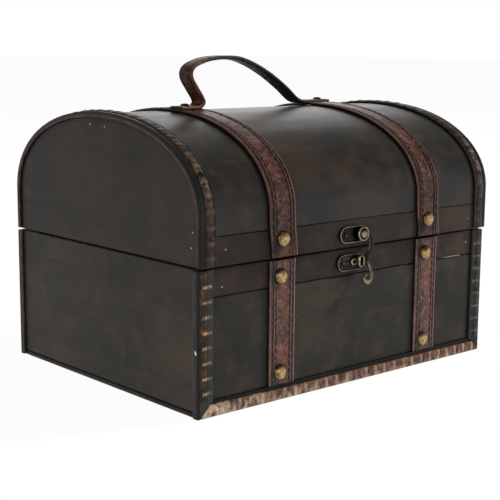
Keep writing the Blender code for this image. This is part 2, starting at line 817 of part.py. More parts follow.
def catch_knob(plate, rail):
    """The lug that the hook's arm closes beside: an upright oblong head on a neck with a collar,
    and a shank into the rail."""
    head_front = hook_front
    seat = base_front - plate_face + PLATE_RECESS - SEAT_GAP
    head_back = head_front + KNOB_THICKNESS
    shank_end = base_front + LATCH_SHANK_LENGTH
    middle_y = (head_front + head_back) / 2
    upright = [(-y, x) for x, y in obround(KNOB_HEIGHT, KNOB_WIDTH)]
    place = (knob_x, middle_y, knob_z)
    lug = outline_solid(
        "catch_knob", [upright], KNOB_THICKNESS, KNOB_ROUND, FROM_THE_FRONT, place
    )
    profile = [
        (0, -middle_y),
        (KNOB_NECK_RADIUS, -middle_y),
        (KNOB_NECK_RADIUS, -seat + HOOK_EDGE),
        (KNOB_COLLAR_RADIUS, -seat),
        (LATCH_PIN_SHANK, -seat),
        (LATCH_PIN_SHANK, -shank_end),
        (0, -shank_end),
    ]
    neck = turned("catch_knob_neck", profile, (knob_x, 0, knob_z), (0, -1, 0), 20)
    join_to(lug, neck)
    bore(
        "catch_knob",
        (knob_x, base_front - plate_face, knob_z),
        (knob_x, shank_end + BORE_CLEARANCE, knob_z),
        LATCH_PIN_SHANK + BORE_CLEARANCE,
        plate,
        rail,
    )
    return add_part(lug, "catch_knob", "latch_bronze", chest)


def latch(walls, rails):
    upper_rail, lower_rail = rails["front"], walls["front", "rail"]
    upper = latch_plate("latch_upper_plate", pivot_z, lid_front, lid_axis)
    lower = latch_plate("latch_lower_plate", lower_plate_z, base_front, chest)
    latch_pin("latch_upper_pin", pivot_z, lid_front, lid_axis, upper, upper_rail)
    latch_pin("latch_lower_pin", lower_plate_z, base_front, chest, lower, lower_rail)
    latch_rivet(upper, upper_rail)
    latch_hook()
    catch_knob(lower, lower_rail)


def hinge_leaf(name, middle, up, knuckles, carrier):
    """A plate on the back face with rolled knuckles at the seam; up is 1 for the lid's leaf."""
    near = base_back + SEAT_GAP
    far = near + LEAF_THICKNESS
    start = hinge_z + up * (KNUCKLE_RADIUS + KNUCKLE_GAP)
    end = hinge_z + up * LEAF_HEIGHT
    half = hinge_width / 2
    leaf = box_mesh(name, (middle - half, near, min(start, end)), (middle + half, far, max(start, end)))
    for index, (low, high) in enumerate(knuckles):
        ends = sorted((hinge_z, start + up * LEAF_THICKNESS))
        tab = box_mesh(
            f"{name}_tab_{index}", (middle + low, near, ends[0]), (middle + high, far, ends[1])
        )
        start_point, end_point = (middle + low, hinge_y, hinge_z), (middle + high, hinge_y, hinge_z)
        roll = rod(f"{name}_roll_{index}", start_point, end_point, KNUCKLE_RADIUS)
        join_to(leaf, tab, roll)
    over = half + CUT_OVERRUN
    pin_start, pin_end = (middle - over, hinge_y, hinge_z), (middle + over, hinge_y, hinge_z)
    bore(name, pin_start, pin_end, HINGE_PIN_RADIUS + PIN_CLEARANCE, leaf, sides=24)
    return add_part(leaf, name, "hinge_brass", carrier)


def hinge_screws(label, leaf_name, middle, up, leaf, rail, carrier):
    height = hinge_z + up * (KNUCKLE_RADIUS + KNUCKLE_GAP + LEAF_HEIGHT) / 2
    face = base_back + SEAT_GAP + LEAF_THICKNESS
    for index, side in enumerate((-1, 1), start=1):
        dome_fastener(
            f"{label}_hinge_{leaf_name}_screw_{index}",
            (middle + side * hinge_width * HINGE_SCREW_SPACING_SHARE / 2, face, height),
            (0, 1, 0),
            HINGE_SCREW_RADIUS,
            HINGE_SCREW_DOME,
            HINGE_SCREW_SHANK,
            HINGE_SCREW_LENGTH,
            "hinge_brass",
            carrier,
            (leaf, rail),
            sides=12,
        )


def hinges(walls, rails):
    """Two butt hinges on the back: the lid's leaf has the middle knuckle, the base's the outer two."""
    half = hinge_width / 2
    inner = hinge_width * LID_KNUCKLE_SHARE / 2
    outer_knuckles = ((-half, -inner - KNUCKLE_GAP), (inner + KNUCKLE_GAP, half))
    for label, middle in (("left", -hinge_offset), ("right", hinge_offset)):
        base_leaf = hinge_leaf(f"{label}_hinge_base_leaf", middle, -1, outer_knuckles, chest)
        lid_leaf = hinge_leaf(f"{label}_hinge_lid_leaf", middle, 1, ((-inner, inner),), lid_axis)
        pin = rod(
            f"{label}_hinge_pin",
            (middle - half, hinge_y, hinge_z),
            (middle + half, hinge_y, hinge_z),
            HINGE_PIN_RADIUS,
        )
        add_part(pin, f"{label}_hinge_pin", "hinge_brass", chest)
        hinge_screws(label, "base", middle, -1, base_leaf, walls["back", "rail"], chest)
        hinge_screws(label, "lid", middle, 1, lid_leaf, rails["back"], lid_axis)


def main():
    walls = base_boards()
    rails, skin = lid_boards()
    lid_trim()
    base_trim()
    lid_straps = straps(walls, rails)
    handle(lid_straps, skin)
    latch(walls, rails)
    hinges(walls, rails)
    chest.location.y = (front_reach - back_reach) / 2


main()
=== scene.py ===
"""Looks of the domed storage chest: stained boards, embossed trim, stitched straps, brass and bronze."""

import math
from dataclasses import dataclass
from functools import partial

import bmesh
import bpy
import numpy as np
from mathutils import Matrix, Vector, noise


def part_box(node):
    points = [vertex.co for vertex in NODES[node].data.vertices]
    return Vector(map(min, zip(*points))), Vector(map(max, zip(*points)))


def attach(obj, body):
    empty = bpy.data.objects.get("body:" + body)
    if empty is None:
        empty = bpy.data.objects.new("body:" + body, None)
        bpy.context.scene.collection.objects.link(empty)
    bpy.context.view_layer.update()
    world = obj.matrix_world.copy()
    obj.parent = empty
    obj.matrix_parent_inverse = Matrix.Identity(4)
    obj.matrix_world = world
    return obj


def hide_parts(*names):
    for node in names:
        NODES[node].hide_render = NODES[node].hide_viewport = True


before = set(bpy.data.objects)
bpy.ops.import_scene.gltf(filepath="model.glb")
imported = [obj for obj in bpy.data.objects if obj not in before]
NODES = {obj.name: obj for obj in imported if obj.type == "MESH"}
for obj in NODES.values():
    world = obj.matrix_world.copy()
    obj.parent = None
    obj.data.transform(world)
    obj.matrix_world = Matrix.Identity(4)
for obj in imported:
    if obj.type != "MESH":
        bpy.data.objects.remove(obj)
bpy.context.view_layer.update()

MM = 0.001


def low(node):
    """The lowest corner of a CAD node's box, in millimetres."""
    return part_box(node)[0] / MM


def high(node):
    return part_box(node)[1] / MM


def middle(node):
    return [(start + end) / 2 for start, end in zip(low(node), high(node))]


def size(node):
    return [end - start for start, end in zip(low(node), high(node))]


# Places of the boards, in millimetres
base_front = low("base_front_panel").y
base_back = high("base_back_panel").y
lid_front = low("lid_front_rail").y
lid_back = high("lid_back_rail").y
lid_middle = (lid_front + lid_back) / 2
crown = high("lid_skin").z
half_length = high("lid_skin").x

# The lid's outline: upright legs under an arch that is a little squarer than an ellipse
LID_STRAIGHT = 27
ARCH_EXPONENT = 2.11
spring = low("lid_front_rail").z + LID_STRAIGHT


# Materials


def srgb(colour, share=1.0):
    """A linear colour from display values of 0 to 255, each times the share."""

    def linear(value):
        value = min(1, value * share / 255)
        return value / 12.92 if value <= 0.04045 else ((value + 0.055) / 1.055) ** 2.4

    return (*map(linear, colour), 1)


class Recipe:
    """Shader nodes in the making: a value that is a socket is linked, any other is set."""

    def __init__(self, owner, shader="Principled BSDF", **shader_values):
        owner.use_nodes = True
        self.owner = owner
        self.tree = owner.node_tree
        self.shader = self.tree.nodes[shader]
        self.spot = self.node("TexCoord").outputs["Object"]
        self.shade(**shader_values)

    def put(self, node, values):
        for key, value in dict(values).items():
            if isinstance(value, bpy.types.NodeSocket):
                self.tree.links.new(value, node.inputs[key])
            else:
                node.inputs[key].default_value = value

    def shade(self, **values):
        self.put(self.shader, {key.replace("_", " "): value for key, value in values.items()})

    def node(self, kind, values=(), **settings):
        node = self.tree.nodes.new("ShaderNode" + kind)
        for key, value in settings.items():
            setattr(node, key, value)
        self.put(node, values)
        return node

    def stretched(self, scales):
        """Object coordinates scaled along each axis, per metre."""
        values = {"Vector": self.spot, "Scale": scales}
        return self.node("Mapping", values).outputs["Vector"]

    def moved(self, vector, shift):
        return self.node("VectorMath", {0: vector, 1: shift}).outputs[0]

    def noise(self, vector, scale=1, detail=4, roughness=0.55, distortion=0):
        names = ("Vector", "Scale", "Detail", "Roughness", "Distortion")
        values = dict(zip(names, (vector, scale, detail, roughness, distortion)))
        return self.node("TexNoise", values).outputs["Fac"]

    def cells(self, vector, scale):
        """The distance to the nearest edge between the cells."""
        values = {"Vector": vector, "Scale": scale}
        return self.node("TexVoronoi", values, feature="DISTANCE_TO_EDGE").outputs["Distance"]

    def ramp(self, value, places, colours):
        """Linear colours at places between 0 and 1."""
        node = self.node("ValToRGB", {"Fac": value})
        elements = node.color_ramp.elements
        while len(elements) < len(places):
            elements.new(0.5)
        for element, place, colour in zip(elements, places, colours):
            element.position = place
            element.color = colour
        return node.outputs["Color"]

    def level(self, value, start, end, low_value=0.0, high_value=1.0):
        """A value brought from one range to another, smoothly and within its limits."""
        names = ("Value", "From Min", "From Max", "To Min", "To Max")
        values = dict(zip(names, (value, start, end, low_value, high_value)))
        return self.node("MapRange", values, interpolation_type="SMOOTHSTEP").outputs["Result"]

    def mix(self, share, first, second, blend="MIX"):
        values = {0: share, 6: first, 7: second}
        node = self.node("Mix", values, data_type="RGBA", blend_type=blend, clamp_factor=True)
        return node.outputs[2]

    def maths(self, operation, first, second=0.5):
        return self.node("Math", {0: first, 1: second}, operation=operation).outputs[0]

    def mask(self, name):
        return self.node("Attribute", attribute_name=name).outputs["Fac"]

    def layered(self, tone, *layers):
        """The tone under layers of (mask or its name, how much of it counts, linear colour)."""
        for mask, most, colour in layers:
            if isinstance(mask, str):
                mask = self.mask(mask)
            tone = self.mix(self.maths("MULTIPLY", mask, most), tone, colour)
        return tone

    def bump(self, *heights):
        """Stacked bumps: (height, distance in millimetres)."""
        normal = {}
        for height, distance in heights:
            values = {"Height": height, "Distance": distance * MM, "Strength": 1.0, **normal}
            normal = {"Normal": self.node("Bump", values).outputs["Normal"]}
        self.put(self.shader, normal)


def stained_wood(name, along, dark, middling, brown, seed, specular, rise=()):
    """Dark stain over fine grain, with soft brown clouds; along is the grain's axis.

    Rise holds (share of the box's height, share of the tone kept): painted shade that darkens the board
    towards its top.
    """
    recipe = Recipe(bpy.data.materials.new(name), Specular_IOR_Level=specular)
    shifted = recipe.moved(recipe.spot, (seed, seed * 0.7, -seed))
    cloud = recipe.noise(shifted, 13, 3, 0.5)
    patches = recipe.noise(shifted, 62, 4, 0.6)
    spots = recipe.noise(recipe.moved(shifted, (3.1, 5.7, 1.3)), 48, 4, 0.65)
    streak_places = recipe.stretched([5 if axis == along else 60 for axis in "XYZ"])
    grain_places = recipe.stretched([14 if axis == along else 420 for axis in "XYZ"])
    streaks = recipe.noise(streak_places, 1, 5, 0.6, 0.4)
    grain = recipe.noise(grain_places, 1, 6, 0.65, 0.2)
    specks = recipe.noise(shifted, 620, 1, 0.4)
    tone = recipe.layered(
        recipe.ramp(cloud, (0.3, 0.5, 0.7), map(srgb, (dark, middling, brown))),
        (recipe.level(patches, 0.44, 0.7), 0.7, srgb(brown)),
        (recipe.level(spots, 0.48, 0.7), 0.55, srgb(dark, 0.85)),
        (recipe.level(streaks, 0.35, 0.7), 0.4, srgb(dark)),
        (recipe.level(grain, 0.56, 0.8), 0.32, srgb(brown, 1.45)),
        (recipe.level(specks, 0.79, 0.85), 0.4, srgb((118, 110, 98))),
    )
    # Painted shade: the tone is multiplied down with height, darkest at the top.
    if rise:
        height = recipe.node("SeparateXYZ", {"Vector": recipe.spot}).outputs["Z"]
        share = recipe.maths("DIVIDE", height, crown * MM)
        places, depths = zip(*rise)
        depth = recipe.ramp(share, places, [(value, value, value, 1) for value in depths])
        tone = recipe.mix(1.0, tone, depth, "MULTIPLY")
    recipe.shade(Base_Color=tone, Roughness=recipe.level(streaks, 0.2, 0.8, 0.34, 0.46))
    recipe.bump((grain, 0.04), (streaks, 0.09), (patches, 0.16))
    return recipe.owner


def strap_leather(name, cast, shade, specular):
    """Reddish-brown leather with a cracked grain; its stitch lines and sides are darkened, partly as
    painted shade, and its edges rubbed pale, partly as a painted highlight.
    """
    recipe = Recipe(bpy.data.materials.new(name), Specular_IOR_Level=specular)
    wavy = recipe.noise(recipe.spot, 90, 3)
    swirl = recipe.node("TexNoise", {"Vector": recipe.spot, "Scale": 160.0}).outputs["Color"]
    values = {0: swirl, 1: (0.009, 0.009, 0.009), 2: recipe.spot}
    warped = recipe.node("VectorMath", values, operation="MULTIPLY_ADD").outputs[0]
    fine = recipe.cells(warped, 620)
    blotch = recipe.noise(recipe.spot, 75, 5, 0.7)
    crease = recipe.maths("SUBTRACT", recipe.noise(warped, 150, 2, 0.5), 0.5)
    crack = recipe.level(recipe.cells(warped, 220), 0.0, 0.1, 1, 0)
    vein = recipe.level(recipe.maths("ABSOLUTE", crease), 0.0, 0.04, 1, 0)
    worn_and_highlight = recipe.maths("MULTIPLY", recipe.mask("worn_and_highlight"), recipe.level(wavy, 0.35, 0.6, 0.35, 1))
    tone = recipe.layered(
        recipe.ramp(blotch, (0.34, 0.5, 0.66), [srgb(cast, share) for share in (0.55, 1, 1.45)]),
        (crack, 0.55, srgb((28, 17, 15))),
        (vein, 0.36, srgb((172, 124, 110), shade)),
        (recipe.level(fine, 0.3, 0.7), 0.16, srgb((150, 104, 90), shade)),
        ("flank", 0.5, srgb((56, 43, 40), shade)),
        # Partly a painted highlight: the rubbed edges and rope.
        (worn_and_highlight, 0.75, srgb((166, 122, 98), shade)),
        # Partly painted shade: the pressed stitch lines and the sides, whose cut edges are also dark.
        ("groove", 1, srgb((18, 12, 11))),
        # Painted shade on the handle's underside, and the leather's own grey past the left leg's top.
        ("under", 1, srgb((40, 38, 35))),
        # Dark spots on the straps.
        ("dark_spot", 1, srgb((22, 20, 24))),
    )
    recipe.shade(Base_Color=tone, Roughness=recipe.level(blotch, 0.3, 0.7, 0.28, 0.5))
    recipe.bump((crack, -0.13), (vein, 0.07), (fine, 0.06), (wavy, 0.3))
    return recipe.owner


def trim_leather(name, flat_tones, bead_tones, rungs, worn_share, pale_tone=(150, 136, 122)):
    """Embossed strip: a bead beside a grey-olive flat, crossed by ribs that are rubbed pale, with painted
    shade in its pits.
    """
    recipe = Recipe(bpy.data.materials.new(name), Specular_IOR_Level=0.18)
    blotch = recipe.noise(recipe.spot, 150, 4, 0.7)
    speck = recipe.noise(recipe.spot, 460, 3, 0.6)
    pale = recipe.maths("MULTIPLY", recipe.mask("pale"), recipe.level(blotch, 0.4, 0.56))
    rubbed = recipe.maths("MULTIPLY", recipe.mask("rib"), recipe.level(speck, 0.3, 0.58, 0.3, 1))
    tone = recipe.layered(
        recipe.ramp(blotch, (0.35, 0.65), map(srgb, flat_tones)),
        ("bead", 1, recipe.ramp(blotch, (0.32, 0.5, 0.66), map(srgb, bead_tones))),
        ("raw", 1, recipe.ramp(blotch, (0.4, 0.7), map(srgb, ((46, 32, 28), (92, 62, 54))))),
        (pale, 0.6, srgb(pale_tone)),
        ("rim", 0.22, srgb((104, 101, 94))),
        (rubbed, worn_share, recipe.mix(recipe.mask("bead"), *map(srgb, rungs))),
        # Painted shade in the pits beside the ribs, the pressed lines and the fold's corner.
        ("pit", 1, srgb((9, 8, 7))),
    )
    recipe.shade(Base_Color=tone, Roughness=recipe.level(speck, 0.3, 0.7, 0.34, 0.52))
    recipe.bump((speck, 0.08), (blotch, 0.24))
    return recipe.owner


def aged_metal(name, bright, dark, grime, roughness):
    """Metal with a dark patina that stays in the hollows; the proud edges are rubbed bright."""
    recipe = Recipe(bpy.data.materials.new(name), Metallic=1.0)
    blotch = recipe.noise(recipe.spot, 480, 4, 0.6)
    fine = recipe.noise(recipe.spot, 1900, 3, 0.6)
    speckled = recipe.maths("ADD", blotch, recipe.maths("MULTIPLY", fine, 0.4))
    rubbed = recipe.maths("MULTIPLY", recipe.mask("crest"), recipe.level(fine, 0.3, 0.6, 0.4, 1))
    tone = recipe.layered(
        srgb(bright),
        (recipe.level(speckled, 0.55, 0.85), 0.75, srgb(dark)),
        ("tarnish", grime, srgb((26, 24, 21))),
        (rubbed, 0.85, srgb(bright, 1.18)),
        ("hollow", 1, srgb((14, 12, 10))),
    )
    recipe.shade(Base_Color=tone, Roughness=recipe.level(blotch, 0.3, 0.7, roughness, roughness + 0.16))
    recipe.bump((fine, 0.02), (blotch, 0.06))
    return recipe.owner


def pale_wood():
    """Pale wood fibre, for the small pale spot and the fine pale line."""
    recipe = Recipe(bpy.data.materials.new("pale_wood"), Roughness=0.7)
    fibre = recipe.noise(recipe.stretched((900, 900, 200)), 1, 4)
    tones = map(srgb, ((150, 144, 132), (222, 218, 208)))
    recipe.shade(Base_Color=recipe.ramp(fibre, (0.35, 0.6), tones))
    return recipe.owner


# The bent board's darker tones are partly painted shade, holding back the lamps' stronger light on the
# lid's top.
WOOD_SKIN = stained_wood("stained_wood_skin", "X", (19, 19, 17), (28, 26, 23), (48, 38, 31), 0.0, 0.24)
WOOD_FRONT = stained_wood("stained_wood_panels", "X", (31, 31, 28), (40, 39, 34), (57, 48, 39), 1.7, 0.1)
WOOD_RAIL = stained_wood("stained_wood_rails", "X", (28, 25, 23), (38, 32, 28), (54, 43, 35), 3.1, 0.1)
# Painted shade on the end boards: full tone at the foot, darker towards the top.
END_PAINTED_SHADE = ((0.0, 1.0), (0.27, 0.88), (0.48, 0.66), (0.62, 0.6), (0.78, 0.44), (0.97, 0.3))
END_TONES = ((40, 39, 33), (50, 46, 38), (75, 60, 46))
WOOD_END = stained_wood("stained_wood_ends", "Y", *END_TONES, 7.7, 0.14, END_PAINTED_SHADE)
STRAP = strap_leather("strap_leather", (71, 42, 34), 0.88, 0.3)
# The lid strap is a darker copy of the strap leather: partly painted shade, holding back the stronger light
# on the lid.
STRAP_LID = strap_leather("strap_leather_lid", (54, 33, 28), 0.72, 0.18)
GRIP = strap_leather("handle_leather", (68, 43, 36), 0.82, 0.14)

# Tones of the trim: of its flat and its bead, dark to light, and of its ribs on the flat and on the bead
DARK_FLAT = ((30, 29, 26), (48, 46, 42))
GREY_FLAT = ((16, 15, 14), (28, 26, 24))
LID_FLAT = ((12, 12, 10), (25, 25, 22))
LOW_FLAT = ((8, 8, 7), (15, 14, 13))
OLIVE_BEAD = ((16, 12, 9), (35, 27, 18), (72, 53, 34))
GREY_BEAD = ((26, 24, 22), (40, 36, 34), (60, 53, 49))
LID_BEAD = ((13, 9, 7), (28, 20, 15), (60, 42, 30))
MAROON_BEAD = ((18, 12, 11), (36, 26, 24), (62, 46, 40))
LOW_BEAD = ((50, 33, 26), (84, 57, 43), (120, 90, 72))
GREY_RIBS = ((120, 117, 112), (124, 116, 108))
LOW_RIBS = ((60, 54, 48), (172, 152, 136))
TRIM = trim_leather("trim_leather_dark", DARK_FLAT, OLIVE_BEAD, ((128, 126, 118), (190, 148, 102)), 0.75)
TRIM_GREY = trim_leather("trim_leather_grey", GREY_FLAT, GREY_BEAD, GREY_RIBS, 0.5)
TRIM_LID = trim_leather("trim_leather_lid", LID_FLAT, LID_BEAD, ((90, 86, 76), (116, 88, 64)), 0.36)
TRIM_FAR = trim_leather("trim_leather_far", LID_FLAT, MAROON_BEAD, ((80, 75, 66), (98, 78, 62)), 0.3)
# The foot strip's light bead and ribs are partly its own tone and partly painted light from the floor
# below; its near-black flat partly paints the shadow along its top.
TRIM_LOW = trim_leather("trim_leather_rubbed_and_lit", LOW_FLAT, LOW_BEAD, LOW_RIBS, 0.5, (192, 168, 142))
BRASS = aged_metal("nail_brass", (190, 160, 112), (96, 73, 44), 0.85, 0.22)
DULL_BRASS = aged_metal("dull_brass", (92, 70, 44), (48, 36, 26), 0.9, 0.4)
BRONZE = aged_metal("latch_bronze", (158, 145, 120), (84, 74, 60), 0.97, 0.26)
DULL_BRONZE = aged_metal("dull_bronze", (132, 128, 112), (64, 60, 50), 0.97, 0.3)
HINGE = aged_metal("hinge_brass", (150, 126, 84), (74, 58, 38), 0.9, 0.34)
DARK_BRONZE = aged_metal("dark_bronze", (84, 78, 66), (44, 40, 34), 0.95, 0.4)
PIN = aged_metal("pin_steel", (178, 176, 170), (110, 106, 98), 0.3, 0.36)
PALE_WOOD = pale_wood()


# Mesh helpers


def new_object(name, data):
    """An object of the mesh, lamp or camera, in the scene."""
    thing = bpy.data.objects.new(name, data)
    bpy.context.scene.collection.objects.link(thing)
    return thing


def new_piece(mesh, material, body, stands_for=None, matrix=None):
    """An object of the mesh, under the mesh's name, that rides on its body."""
    piece = new_object(mesh.name, mesh)
    mesh.materials.append(material)
    if matrix is not None:
        piece.matrix_world = matrix
        bpy.context.view_layer.update()
    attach(piece, body)
    if stands_for:
        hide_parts(stands_for)


def store(mesh, masks):
    """Keeps named values on the mesh's points."""
    for key, values in dict(masks).items():
        layer = mesh.attributes.new(key, "FLOAT", "POINT")
        layer.data.foreach_set("value", np.asarray(values, np.float32).ravel())


def mesh_of(name, points, faces, masks=(), sharp=45):
    """A smooth-shaded mesh from millimetre points, with named masks stored on its points."""
    mesh = bpy.data.meshes.new(name)
    mesh.from_pydata((np.asarray(points) * MM).tolist(), [], faces)
    shape = bmesh.new()
    shape.from_mesh(mesh)
    bmesh.ops.recalc_face_normals(shape, faces=shape.faces)
    shape.to_mesh(mesh)
    shape.free()
    store(mesh, masks)
    mesh.shade_smooth()
    mesh.set_sharp_from_angle(angle=math.radians(sharp))
    return mesh


def grid_mesh(name, grid, masks=(), sharp=45):
    """The mesh of a sweep: rows of ring points, closed at both ends."""
    return mesh_of(name, grid.reshape(-1, 3), ring_faces(*grid.shape[:2]), masks, sharp)


def mark_relief(mesh, rubbed=0.55, shine=1.0):
    """Stores how hollow and how proud each point stands against its neighbours; shine scales the latter."""
    points = np.array([vertex.co for vertex in mesh.vertices], np.float32) / MM
    normals = np.array([vertex.normal for vertex in mesh.vertices], np.float32)
    first, second = np.array([edge.vertices[:] for edge in mesh.edges]).T
    gap = points[second] - points[first]
    square = np.maximum((gap**2).sum(1), 0.01)
    bend, ties = np.zeros(len(points)), np.zeros(len(points))
    for here, way in ((first, gap), (second, -gap)):
        np.add.at(bend, here, (normals[here] * way).sum(1) / square)
        np.add.at(ties, here, 1)
    bend /= np.maximum(ties, 1)
    store(mesh, {"hollow": unit(bend / 0.7 - 0.1), "crest": unit(-bend / rubbed - 0.25) * shine})


def ring_faces(rows, count, capped=True, loop=False):
    """Quads between rows of ring points, with a cap on each end; a loop's last row meets its first."""
    index = np.arange(rows * count).reshape(rows, count)
    following = np.roll(index, -1, axis=0) if loop else index[1:]
    current = index if loop else index[:-1]
    corners = [current, np.roll(current, -1, axis=1), np.roll(following, -1, axis=1), following]
    faces = np.stack(corners, -1).reshape(-1, 4).tolist()
    if capped and not loop:
        faces += [index[0][::-1].tolist(), index[-1].tolist()]
    return faces


def unit(value):
    """The value, held between 0 and 1."""
    return np.clip(value, 0, 1)


def smooth_pulse(value, centre, width):
    return np.exp(-(((value - centre) / width) ** 2))


def squared_off(value, power):
    """A sine or cosine with a power on its size, which turns a circle into a rounded box."""
    return np.sign(value) * np.abs(value) ** power


def full_circle(count):
    return np.linspace(0, 2 * math.pi, count, endpoint=False)


def stacked(*values):
    """Points from their coordinates, each an array or a number."""
    return np.stack(np.broadcast_arrays(*values), -1)


def wobble(points, scale, seed=0.0):
    """Smooth noise between -1 and 1 at each millimetre point, its waves about scale millimetres long."""
    values = [noise.noise(Vector(point)) for point in points.reshape(-1, 3) / scale + seed]
    return np.array(values).reshape(points.shape[:-1])


def mirrored(points):
    """The same (across, height) points on the other side, in the order that goes on round a ring."""
    return [(-a, h) for a, h in points[::-1]]


def directions(line):
    """The unit direction of a line at each of its points."""
    along = np.gradient(line, axis=0)
    return along / np.linalg.norm(along, axis=1, keepdims=True)


def smooth_line(points, steps):
    """Points along a Catmull-Rom curve through the given ones."""
    points = [Vector(point) for point in points]
    ends = [2 * points[0] - points[1], *points, 2 * points[-1] - points[-2]]
    line = []
    for before, start, end, after in zip(ends, ends[1:], ends[2:], ends[3:]):
        for step in range(steps):
            t = step / steps
            curve = 2 * start + (end - before) * t + (2 * before - 5 * start + 4 * end - after) * t**2
            line.append((curve + (3 * start - before - 3 * end + after) * t**3) / 2)
    return np.array([*line, points[-1]])


def spread_over(line, shares, values):
    """The values at shares of the way along a line, for each of its points."""
    return np.interp(np.linspace(0, 1, len(line)), shares, values)


class Path:
    """A line in space with an outward direction at each point, measured along its length."""

    def __init__(self, points, ups):
        self.points = np.asarray(points, float)
        self.ups = np.asarray(ups, float)
        steps = np.linalg.norm(np.diff(self.points, axis=0), axis=1)
        self.lengths = np.concatenate([[0], np.cumsum(steps)])
        self.length = self.lengths[-1]

    def at(self, distance):
        def pick(values):
            return np.stack([np.interp(distance, self.lengths, values[:, k]) for k in range(3)], -1)

        ups = pick(self.ups)
        return pick(self.points), ups / np.linalg.norm(ups, axis=-1, keepdims=True)


def arch_path(x, foot):
    """The lid's outline at x, from the height foot at the front, over the top, to the back."""
    angles = np.linspace(0, math.pi, 1441)
    power = 2 / ARCH_EXPONENT
    y = lid_middle - squared_off(np.cos(angles), power) * (lid_back - lid_front) / 2
    z = spring + squared_off(np.sin(angles), power) * (crown - spring)
    leg = np.linspace(foot, spring, 60)[:-1]
    y = np.concatenate([np.full(len(leg), lid_front), y, np.full(len(leg), lid_back)])
    z = np.concatenate([leg, z, leg[::-1]])
    along = directions(stacked(y, z))
    return Path(stacked(x, y, z), stacked(0, -along[:, 1], along[:, 0]))


def straight_path(start, end, up):
    return Path(np.linspace(start, end, 20), np.tile(up, (20, 1)))


def sweep(path, across, ring, step, relief, start_cut=np.zeros_like, end_cut=np.zeros_like, taper=None):
    """Ring points (across, height) carried along the path; relief adds height from place and distance.

    The cuts say how far each place across stays back from the path's ends; taper moves those places.
    """
    ring = np.asarray(ring, float)
    share = np.linspace(0, 1, round(path.length / step))[:, None]
    first, last = start_cut(ring[:, 0]), path.length - end_cut(ring[:, 0])
    distance = first + share * (last - first)
    spots, ups = path.at(distance)
    a = np.broadcast_to(ring[:, 0], distance.shape)
    h = np.broadcast_to(ring[:, 1], distance.shape)
    if taper:
        a = taper(distance, a)
    h = h + relief(distance, a, h)
    grid = spots + np.asarray(across, float) * a[..., None] + ups * h[..., None]
    return grid, distance, a, h


# Boards

BOARD_MATERIALS = {
    "_end": WOOD_END,
    "_rail": WOOD_RAIL,
    "_floor": WOOD_FRONT,
    "_panel": WOOD_FRONT,
    "hinge": HINGE,
}
SKIN_THICK = 3.0
SKIN_EASE = 0.35
SKIN_WAVE = 0.16
SKIN_LIP_WIDTH = 0.45
SKIN_LIP_DROP = 0.75


def dress_boards():
    """The CAD boards and hinges keep their shape and get their material."""
    for name, node in NODES.items():
        for part, material in BOARD_MATERIALS.items():
            if part in name:
                node.data.materials.clear()
                node.data.materials.append(material)


def lid_skin():
    """The bent board: eased ends, a lip below each that closes its joint, and a faint waviness on top."""
    half = half_length
    inner, under = half - SKIN_LIP_WIDTH, -SKIN_THICK - SKIN_LIP_DROP
    right = [(half, under), (inner, under), (inner - 0.1, -SKIN_THICK)]
    level = np.linspace(SKIN_THICK - half, half - SKIN_THICK, 42)
    places = (SKIN_EASE - half, *level, half - SKIN_EASE)
    top = [(-half, -SKIN_EASE), *[(a, 0.0) for a in places], (half, -SKIN_EASE)]

    def relief(distance, a, h):
        sag = np.sin(distance / 23 + a / 90) * np.sin(a / 37)
        return np.where(h > -1, SKIN_WAVE * (sag - 1), 0)

    path = arch_path(0, low("lid_skin").z)
    grid, *_ = sweep(path, (1, 0, 0), [*top, *right, *mirrored(right)], 1.6, relief)
    mesh = grid_mesh("lid_bent_board", grid)
    new_piece(mesh, WOOD_SKIN, "lid", "lid_skin")
    mesh.materials.append(WOOD_END)
    for face in mesh.polygons:
        face.material_index = int(abs(face.center.x) > (half - 0.1) * MM)


# Straps: stitches and rope are placed inward from the edge

STRAP_HALF = 10.2
STRAP_EDGE = ((0, 0.7), (0.02, 1.2), (0.15, 1.55), (0.4, 1.78), (0.75, 1.9))
STITCH_PITCH = 4.6
OUTER_STITCH = 2.5
INNER_STITCH = 4.7
INNER_STITCH_SHIFT = 2.2
ROPE = 3.6
DRIFT_LENGTH = 15

# Dark spots: distance along the strap, place across it and radius
LID_DARK_SPOTS = ((6, -7, 3.5),)
FRONT_DARK_SPOTS = ((5.5, -7, 4.6), (9.5, -6.5, 3.2))


def stitches(distance, shift=0.0):
    """How far a row of stitches is pressed in, from 0 to 1 along it."""
    wave = np.cos(2 * math.pi * distance / STITCH_PITCH + shift)
    return 0.5 + 0.5 * np.tanh(4 * (wave + 0.25))


def strap_ring():
    """The strap's section: flat below, with eased edges above."""
    edge = [(inset - STRAP_HALF, h) for inset, h in STRAP_EDGE]
    top = [(a, 1.95) for a in np.linspace(1.1 - STRAP_HALF, STRAP_HALF - 1.1, 71)]
    below = [(STRAP_HALF - 0.1, 0.42), (STRAP_HALF - 0.4, 0.34), (5, 0.32)]
    return edge + top + mirrored(edge) + below + mirrored(below)


